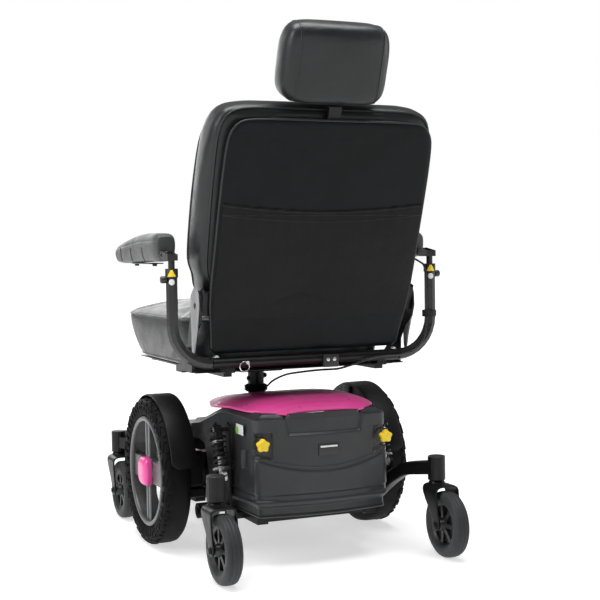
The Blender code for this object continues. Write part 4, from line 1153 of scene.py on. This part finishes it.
TREAD_COUNT = 26
S_LINE = [(-0.42, 0.30), (-0.40, 0.22), (-0.24, 0.185), (0.02, 0.19), (0.20, 0.215), (0.26, 0.28),
          (0.20, 0.345), (0.00, 0.370), (-0.20, 0.395), (-0.27, 0.455), (-0.20, 0.52),
          (0.02, 0.545), (0.26, 0.540), (0.40, 0.500)]


def tread_ribs(side):
    """S-shaped raised ribs round the outer shoulder, and plain bars on the inner one."""
    step = 2 * math.pi / TREAD_COUNT
    parts = []
    for k in range(TREAD_COUNT):
        middle = step * k
        line = [on_tyre(middle + step * u * 0.98, v, side, 0.0004)
                for u, v, _ in route([(u, v, 0.0) for u, v in S_LINE], 3)]
        lifted = [on_tyre(middle + step * u * 0.98, v, side, 0.0022)
                  for u, v, _ in route([(u, v, 0.0) for u, v in S_LINE], 3)]
        rings = []
        for i, (low, high) in enumerate(zip(line, lifted)):
            along = (line[min(i + 1, len(line) - 1)] - line[max(i - 1, 0)]).normalized()
            out = (high - low).normalized()
            across = out.cross(along).normalized()
            rings.append([low - across * 0.0022 - out * 0.0012, high - across * 0.0014,
                          high + across * 0.0014, low + across * 0.0022 - out * 0.0012])
        parts.append(facing(skin(rings)))
    for k in range(TREAD_COUNT * 2):
        middle = step * (k + 0.5) / 2
        long = k % 2
        rings = []
        for v in (0.60, 0.66, 0.72 + 0.05 * long):
            rings.append([on_tyre(middle - 0.016, v, side, -0.001),
                          on_tyre(middle - 0.012, v, side, 0.0016),
                          on_tyre(middle + 0.012, v, side, 0.0016),
                          on_tyre(middle + 0.016, v, side, -0.001)])
        parts.append(facing(skin(rings)))
    return merge(*parts)


def drive_wheels():
    for name, side in SIDES:
        centre = at_axle(side * WHEEL_MID, 0.0, WHEEL_R)
        ring = tyre_profile() + [(0.1318, 0.0200), (0.1318, -0.0200)]
        tyre = lathe(ring, centre, "X", 156)
        facing(tyre)
        for vertex in tyre.verts:
            local = vertex.co - centre
            r = math.hypot(local.y, local.z)
            a = math.atan2(local.z, local.y)
            if side * local.x > 0.028 and 0.136 < r < 0.152:
                wave = math.sin(a * 52)
                if wave > 0.1:
                    vertex.co.x -= side * 0.0042 * min(1.0, wave)
        body = f"drive_wheel_{name}"
        piece(f"drive_tyre_carcass_{name}", finished(tyre, outward=False), body, TYRE,
              (f"drive_tyre_{name}",), 50)
        piece(f"drive_tyre_tread_{name}", finished(tread_ribs(side), outward=False), body, TYRE,
              smooth=30)

        proud = abs(0.3030 - WHEEL_MID) - 0.0006
        ribs = []
        for turn in (90, 270):
            a = math.radians(turn)
            ray = Vector((0, math.cos(a), math.sin(a)))
            wide = Vector((0, -math.sin(a), math.cos(a)))
            for offset in (-0.0105, 0.0105):
                rings = []
                for t in range(9):
                    r = 0.037 + (0.1235 - 0.037) * t / 8
                    spot = centre + ray * r + wide * offset * (1.0 + 0.10 * t / 8)
                    up = Vector((side, 0, 0))
                    base = spot + up * proud
                    rings.append([base - wide * 0.0052, base - wide * 0.0036 + up * 0.0030,
                                  base + wide * 0.0036 + up * 0.0030, base + wide * 0.0052])
                ribs.append(facing(skin(rings)))
        for turn in (0, 180):
            a = math.radians(turn)
            ray = Vector((0, math.cos(a), math.sin(a)))
            wide = Vector((0, -math.sin(a), math.cos(a)))
            rings = []
            for t in range(9):
                r = 0.038 + (0.122 - 0.038) * t / 8
                spot = centre + ray * r + Vector((side, 0, 0)) * proud
                half = 0.0245 + 0.0035 * abs(t / 8 - 0.3)
                up = Vector((side, 0, 0)) * 0.0017
                rings.append([spot - wide * (half + 0.0012), spot - wide * half + up,
                              spot + wide * half + up, spot + wide * (half + 0.0012)])
            ribs.append(facing(skin(rings)))
        piece(f"rim_ribs_{name}", finished(merge(*ribs), outward=False), body, RIM)
        bead = lathe([(0.1205, 0.0), (0.1215, 0.0045), (0.1245, 0.0062), (0.1295, 0.0066),
                      (0.1325, 0.0048), (0.1330, 0.0)], (0, 0, 0), "X", 128)
        if side < 0:
            bead.transform(Matrix.Scale(-1, 4, (1, 0, 0)))
        bead.transform(Matrix.Translation(centre + Vector((side * 0.0242, 0, 0))))
        piece(f"rim_bead_{name}", finished(bead), body, RIM)

        cap = []
        low, high = 0.3040, 0.3243
        for t in [0.0, 0.12, 0.30, 0.52, 0.70, 0.84, 0.93, 0.98, 1.0]:
            x = low + (high - low) * t
            grow = (1 - max(0.0, (t - 0.45) / 0.55) ** 3.0 * 0.42) if t < 1.0 else 0.40
            loop = []
            for c, s in squircle(56, 0.50, 0.50):
                y, z = 0.0325 * grow * c, 0.0340 * grow * s
                y *= 1.0 - 0.10 * rise(abs(z), 0.020, 0.034)
                loop.append(at_axle(side * x, y, WHEEL_R + z))
            cap.append(loop)
        piece(f"hub_cap_gloss_{name}", finished(skin(cap)), body, PINK,
              (f"hub_cap_{name}",), 0)


def fenders():
    """Arched guards: a thin tread cover with a rolled outer lip and an inner web."""
    outer = [(0.1600, 0.2352), (0.1650, 0.2372), (0.1790, 0.2374), (0.1838, 0.2392),
             (0.1860, 0.2440), (0.1863, 0.2960), (0.1854, 0.2996), (0.1832, 0.3012)]
    inner = [(0.1826, 0.2995), (0.1834, 0.2965), (0.1834, 0.2450), (0.1820, 0.2414),
             (0.1785, 0.2400), (0.1600, 0.2392)]
    for name, side in SIDES:
        rings = []
        steps = 84
        for i in range(steps + 1):
            turn = -9 - 152 * i / steps
            a = math.radians(turn)
            end = min(i, steps - i) / steps
            trim = 1.0 if end > 0.03 else 0.75 + 0.25 * math.sin(math.pi / 2 * end / 0.03)
            ring = []
            for r, x in outer + inner:
                x = 0.2352 + (x - 0.2352) * trim
                ring.append(at_axle(side * x, r * math.cos(a), WHEEL_R - r * math.sin(a)))
            rings.append(ring)
        body = f"drive_unit_{name}"
        piece(f"fender_arch_{name}", finished(skin(rings)), body, FENDER,
                      (f"fender_{name}",), 32)
        strut = slab(at_axle(side * 0.2340, 0.0, 0.2900), (0.0058, 0.0400, 0.1300), 0.0024)
        piece(f"fender_strut_{name}", finished(strut), body, FENDER)
        heads = merge(*(facing(bolt(at_axle(side * 0.2305, y, z), (-side, 0, 0), 0.0055, 0.0036))
                        for y, z in ((0.0, 0.246), (0.0, 0.330))))
        piece(f"fender_bolts_{name}", finished(heads, outward=False), body, STEEL)


CASTER_SPOTS = [("front_caster_left", "front", "left", 0.276, -0.368),
                ("front_caster_right", "front", "right", -0.276, -0.368),
                ("rear_caster_left", "rear", "left", 0.272, 0.398),
                ("rear_caster_right", "rear", "right", -0.272, 0.398)]


def caster_wheels():
    """Grey tyres with three shallow grooves, on dark seven-spoke hubs."""
    for node, end, name, x, y in CASTER_SPOTS:
        centre = at_axle(x, y + 0.047, 0.076)
        half = [(0.0500, 0.0150), (0.0540, 0.0178), (0.0620, 0.0188), (0.0690, 0.0176),
                (0.0730, 0.0146), (0.0748, 0.0112), (0.0750, 0.0098), (0.0741, 0.0088),
                (0.0752, 0.0078), (0.0757, 0.0050), (0.0758, 0.0022), (0.0750, 0.0012),
                (0.0748, 0.0)]
        profile = half + [(r, -a) for r, a in reversed(half[:-1])] + [(0.0480, -0.0120),
                                                                     (0.0480, 0.0120)]
        body = f"{end}_wheel_{name}"
        tyre = lathe(profile, centre, "X", 88)
        piece(f"{node}_tyre", finished(tyre), body, CASTER, (f"{node}_wheel",), 55)
        rim = [(0.0485, 0.0135), (0.0510, 0.0150), (0.0525, 0.0146), (0.0525, -0.0146),
               (0.0510, -0.0150), (0.0485, -0.0135), (0.0440, -0.0100), (0.0430, 0.0),
               (0.0440, 0.0100)]
        hub = [(0.0045, 0.0238), (0.0110, 0.0238), (0.0125, 0.0222), (0.0135, 0.0150),
               (0.0150, 0.0120), (0.0150, -0.0120), (0.0135, -0.0150), (0.0125, -0.0222),
               (0.0110, -0.0238), (0.0045, -0.0238)]
        parts = [facing(lathe(rim, centre, "X", 72)), facing(lathe(hub, centre, "X", 40))]
        for k in range(7):
            a = 2 * math.pi * k / 7
            ray = Vector((0, math.cos(a), math.sin(a)))
            wide = Vector((0, -math.sin(a), math.cos(a)))
            rings = []
            for r, w, d in ((0.013, 0.0058, 0.0120), (0.024, 0.0046, 0.0105),
                            (0.036, 0.0046, 0.0098), (0.0455, 0.0064, 0.0098)):
                spot = centre + ray * r
                side = Vector((1, 0, 0))
                rings.append([spot - wide * w - side * d, spot + wide * w - side * d,
                              spot + wide * w * 0.7, spot + wide * w + side * d,
                              spot - wide * w + side * d, spot - wide * w * 0.7])
            parts.append(facing(skin(rings)))
        web = lathe([(0.013, 0.0022), (0.045, 0.0022), (0.045, -0.0022), (0.013, -0.0022)],
                    centre, "X", 60)
        parts.append(facing(web))
        piece(f"{node}_hub", finished(merge(*parts), outward=False), body, BLACK_PLASTIC)
        fork = f"{end}_fork_{name}"
        heads = merge(*(facing(bolt(centre + Vector((side * 0.0318, 0, 0)), (side, 0, 0),
                                    0.0068, 0.0048)) for side in (1, -1)))
        piece(f"{node}_axle_bolts", finished(heads, outward=False), fork, BLACK_PAINT)


# ---------------------------------------------------------------- suspension, seat frame and cables

SHOCK_X = 0.208


def shocks():
    """Coil-overs: the spring stretches between the damper's body and its rod."""
    for name, side in SIDES:
        top, foot = at_axle(side * SHOCK_X, 0.230, 0.300), at_axle(side * SHOCK_X, 0.262, 0.198)
        down = (foot - top).normalized()
        length = (foot - top).length
        lean = Vector((0, 0, 1)).rotation_difference(down)
        start, end = 0.0217, length - 0.0217
        line, turns = [], 5.0
        for i in range(int(turns * 30) + 1):
            t = i / (turns * 30)
            a = 2 * math.pi * turns * t
            line.append(top + lean @ Vector((0.0160 * math.cos(a), 0.0160 * math.sin(a),
                                             start + (end - start) * t)))
        spring = piece(f"shock_coil_{name}", finished(tube(line, 0.0021, 10)), None, BLACK_PAINT,
                       (f"shock_spring_{name}",), 0)
        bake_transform(spring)
        collar = []
        for at, thick in ((0.0265, 0.0016), (0.0305, 0.0016)):
            ring = lathe([(0.0121, -thick), (0.0142, -thick * 0.6), (0.0142, thick * 0.6),
                          (0.0121, thick)], (0, 0, 0), "Z", 40)
            ring.transform(Matrix.Translation(top + down * at) @ lean.to_matrix().to_4x4())
            collar.append(facing(ring))
        piece(f"shock_collars_{name}", finished(merge(*collar), outward=False),
              f"shock_body_{name}", STEEL)
        eye = facing(bolt(top + Vector((side * 0.0092, 0, 0)), (side, 0, 0), 0.0052, 0.0034))
        piece(f"shock_top_bolt_{name}", finished(eye, outward=False), f"shock_body_{name}", STEEL)


BASE_CABLE = [(-0.010, 0.004, 0.3680), (-0.016, 0.030, 0.384), (-0.030, 0.080, 0.402),
              (-0.046, 0.150, 0.414), (-0.062, 0.215, 0.423), (-0.084, 0.264, 0.4285),
              (-0.106, 0.286, 0.4370), (-0.135, 0.2985, 0.447), (-0.175, 0.3000, 0.456),
              (-0.2345, 0.3000, 0.4575)]
ARM_CABLE = [(-0.2353, 0.3000, 0.4575), (-0.268, 0.2990, 0.4650), (-0.2930, 0.2975, 0.486),
             (-0.3065, 0.2940, 0.520), (-0.3100, 0.2918, 0.560), (-0.3100, 0.2912, 0.610),
             (-0.3098, 0.2905, 0.645), (-0.3070, 0.2890, 0.662), (-0.304, 0.2860, 0.672)]
PAD_CABLE = [(-0.3045, 0.2862, 0.6715), (-0.2960, 0.2780, 0.6790), (-0.2900, 0.2620, 0.6860),
             (-0.2885, 0.2400, 0.6880), (-0.2900, 0.2150, 0.6850)]


def cables():
    """The joystick's lead, held by the seat and the right arm; its last stretch up to the pad rides
    on no body.
    """
    for name, points, body, node in (("base_lead", BASE_CABLE, "seat", "base_cable"),
                                     ("arm_lead", ARM_CABLE, "arm_tube_right", "arm_cable")):
        line = route([at_axle(*p) for p in points], 10)
        piece(name, finished(tube(line, 0.0025, 12)), body, CABLE, (node,), 0)
    line = route([at_axle(*p) for p in PAD_CABLE], 8)
    pad = piece("pad_lead", finished(tube(line, 0.0024, 12)), None, CABLE, (), 0)
    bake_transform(pad)
    strap = lathe([(0.0137, -0.0080), (0.0155, -0.0074), (0.0155, 0.0074), (0.0137, 0.0080)],
                  (0, 0, 0), "Z", 40)
    strap.transform(Matrix.Diagonal((1.34, 1.06, 1.0, 1.0)))
    strap.transform(Matrix.Rotation(math.radians(38), 4, "Z"))
    strap.transform(Matrix.Translation(at_axle(-0.3212, 0.2830, 0.5530)))
    piece("cable_strap", finished(facing(strap), outward=False), "arm_tube_right", SOFT)


def round_the_arm(side, radius, levels):
    """Rows on the back of an arm tube, one for each (height, half angle), turned to the rear."""
    turn = 0.30
    return [[at_axle(side * 0.325 + radius * math.sin(a + turn),
                     0.280 + radius * math.cos(a + turn), z)
             for a in (wide * (k / 5 - 1) for k in range(11))] for z, wide in levels]


def seat_hardware():
    """Bolts, brackets and labels of the seat frame and the arm tubes."""
    parts = [facing(bolt(at_axle(side * 0.2240, 0.2800, 0.4708), (0, 0, 1), 0.0062, 0.0052))
             for _, side in SIDES]
    piece("cross_tube_bolts", finished(merge(*parts), outward=False), "seat", STEEL)
    box = facing(slab(at_axle(-0.052, 0.2945, 0.4520), (0.0380, 0.0100, 0.0300), 0.0022))
    rivets = [facing(bolt(at_axle(x, 0.2995, 0.4550), (0, 1, 0), 0.0032, 0.0020, False))
              for x in (-0.060, -0.044)]
    piece("latch_box", finished(box), "seat", BLACK_PLASTIC)
    piece("latch_rivets", finished(merge(*rivets), outward=False), "seat", STEEL)
    for name, side in SIDES:
        body = f"arm_tube_{name}"
        band_ring = lathe([(0.0136, 0.6520), (0.0143, 0.6524), (0.0143, 0.6710), (0.0139, 0.6722),
                           (0.0136, 0.6722)], at_axle(side * 0.325, 0.280, 0.0), "Z", 48)
        piece(f"arm_sleeve_{name}", finished(band_ring), body, BLACK_PLASTIC)
        triangle = [(0.6545 + 0.0145 * j / 6, 0.74 * (1.0 - 0.80 * j / 6)) for j in range(7)]
        sticker(f"arm_marker_{name}", body, YELLOW,
                round_the_arm(side, 0.01465, triangle))
        tilts = [math.pi * (j / 8 - 0.5) for j in range(9)]
        disc = [(0.6425 + 0.0068 * math.sin(b), max(0.02, 0.50 * math.cos(b))) for b in tilts]
        sticker(f"arm_dot_{name}", body, WHITE,
                round_the_arm(side, 0.0138, disc))
        knob = facing(lathe([(0.0, 0.0), (0.0075, 0.0), (0.0080, 0.0020), (0.0080, 0.0100),
                             (0.0066, 0.0122), (0.0, 0.0126)], (0, 0, 0), "Z", 24))
        knob.transform(Matrix.Translation(at_axle(side * 0.325 + side * 0.0134, 0.2800, 0.6480)) @
                       Matrix.Rotation(side * math.pi / 2, 4, "Y"))
        piece(f"arm_clamp_knob_{name}", finished(knob), body, BLACK_PLASTIC)
    knobs = [facing(bolt(at_axle(-0.0205, -0.050, 0.3900), (-1, 0, 0), 0.0060, 0.0080, False)),
             facing(bolt(at_axle(0.0205, -0.050, 0.3840), (1, 0, 0), 0.0050, 0.0040))]
    piece("post_clamp_screws", finished(merge(*knobs), outward=False), "seat", BLACK_PAINT)


def caps():
    """Domed dust caps on the four caster barrels."""
    for _, end, name, x, y in CASTER_SPOTS:
        body = f"drive_unit_{name}" if end == "front" else f"rear_arm_{name}"
        dome = [(0.0, 0.2290), (0.0080, 0.2288), (0.0150, 0.2283), (0.0192, 0.2273),
                (0.0203, 0.2264), (0.0203, 0.2258), (0.0, 0.2258)]
        piece(f"barrel_cap_{body}", finished(lathe(dome, at_axle(x, y, 0.0), "Z", 44)), body,
              BLACK_PLASTIC)


def release_knobs():
    """Five-lobed turn knobs with a crowned face and a thumb dimple between the lobes."""
    for name, side in SIDES:
        rings = []
        for depth, grow in ((0.3660, 0.55), (0.3672, 0.86), (0.3690, 0.97), (0.3715, 1.0),
                            (0.3775, 1.0), (0.3800, 0.965), (0.3816, 0.86), (0.3824, 0.60),
                            (0.3814, 0.22)):
            ring = []
            for i in range(80):
                a = 2 * math.pi * i / 80
                radius = (0.0137 + 0.0017 * math.cos(5 * a) * (1 if grow > 0.7 else 0.3)) * grow
                ring.append(at_axle(side * 0.152 + radius * math.sin(a), depth,
                                    0.279 + radius * math.cos(a)))
            rings.append(ring)
        piece(f"release_knob_grip_{name}", finished(skin(rings)), f"release_knob_{name}", YELLOW,
              (f"release_knob_{name}",))


REAR_ARM = [(0.2060, 0.100, 0.0945), (0.2065, 0.150, 0.0960), (0.2100, 0.200, 0.1090),
            (0.2180, 0.240, 0.1390), (0.2260, 0.268, 0.1620), (0.2400, 0.307, 0.1850),
            (0.2570, 0.350, 0.1945), (0.2720, 0.386, 0.1990)]


def rear_arms():
    """Swept rectangular tubes from the pivots back to the caster barrels, with rounded corners."""
    for name, side in SIDES:
        line = route([at_axle(side * x, y, z) for x, y, z in REAR_ARM], 8)
        rings = []
        for i, point in enumerate(line):
            along = (line[min(i + 1, len(line) - 1)] - line[max(i - 1, 0)]).normalized()
            across = along.cross(Vector((0, 0, 1))).normalized()
            rising = across.cross(along).normalized()
            near = min(i, len(line) - 1 - i)
            grow = 0.80 + 0.20 * rise(near, 0.0, 3.0)
            rings.append([point + across * (0.0130 * grow * c) + rising * (0.0152 * grow * s)
                          for c, s in squircle(32, 0.4, 0.4)])
        piece(f"rear_arm_tube_{name}", finished(skin(rings)), f"rear_arm_{name}", BLACK_PAINT)


def recline_plates():
    """Pressed side plates where the backrest turns."""
    outline = [(0.246, 0.612), (0.268, 0.628), (0.292, 0.621), (0.301, 0.600), (0.297, 0.568),
               (0.285, 0.534), (0.271, 0.500), (0.263, 0.474), (0.252, 0.472), (0.249, 0.500),
               (0.247, 0.540), (0.243, 0.580)]
    for name, side in SIDES:
        face = route([(0.0, y, z) for y, z in outline] + [(0.0, *outline[0])], 6)[:-1]
        middle = sum(face, Vector()) / len(face)
        rings = []
        for x, grow in ((0.2680, 0.93), (0.2680, 0.985), (0.2688, 1.0), (0.2702, 1.0),
                        (0.2708, 0.985), (0.2708, 0.93)):
            rings.append([at_axle(side * x, middle.y + (p.y - middle.y) * grow,
                                  middle.z + (p.z - middle.z) * grow) for p in face])
        piece(f"recline_plate_{name}", finished(skin(rings)), "seat", GREY_PAINT)


FORK_LEG = [(-0.0290, 0.0640, 0.0040), (-0.0290, 0.0655, 0.0090), (-0.0290, 0.0690, 0.0122),
            (-0.0290, 0.0770, 0.0134), (-0.0290, 0.1050, 0.0190), (-0.0290, 0.1380, 0.0290),
            (-0.0278, 0.1535, 0.0325), (-0.0215, 0.1605, 0.0335), (-0.0110, 0.1622, 0.0338)]


def forks():
    """Caster forks pressed from one strip: tapering legs under a rounded crown."""
    spine = FORK_LEG + [(0.0, 0.1624, 0.0338)] + [(-x, z, w) for x, z, w in reversed(FORK_LEG)]
    for node, end, name, x, y in CASTER_SPOTS:
        axle_y = y + 0.047
        line = route(spine, 5)
        rings = []
        for i, point in enumerate(line):
            ahead, behind = line[min(i + 1, len(line) - 1)], line[max(i - 1, 0)]
            out = Vector((ahead.y - behind.y, behind.x - ahead.x)).normalized()
            middle = axle_y - 0.030 * rise(point.y, 0.076, 0.158)
            rings.append([at_axle(x + point.x + out.x * 0.0026 * c, middle + point.z * s,
                                  point.y + out.y * 0.0026 * c)
                          for c, s in squircle(28, 0.4, 0.35)])
        stem = lathe([(0.0, 0.1630), (0.0190, 0.1630), (0.0190, 0.1665), (0.0165, 0.1700),
                      (0.0110, 0.1705), (0.0110, 0.2100), (0.0, 0.2100)],
                     at_axle(x, y, 0.0), "Z", 32)
        pin = lathe([(0.0, -0.0280), (0.0044, -0.0280), (0.0044, 0.0280), (0.0, 0.0280)],
                    at_axle(x, axle_y, 0.076), "X", 20)
        shell = merge(facing(skin(rings)), facing(stem), facing(pin))
        piece(f"caster_fork_{end}_{name}", finished(shell, outward=False),
              f"{end}_fork_{name}", BLACK_PAINT, (f"{node}_fork",))


# ---------------------------------------------------------------- the scene

place_camera()
studio()
floor()
dress_frame()
seat_cushion()
back_cushion()
headrest()
arm_pads()
back_panel()
back_pocket()
rear_shroud()
top_cover()
drive_wheels()
fenders()
caster_wheels()
shocks()
cables()
seat_hardware()
caps()
release_knobs()
rear_arms()
recline_plates()
forks()
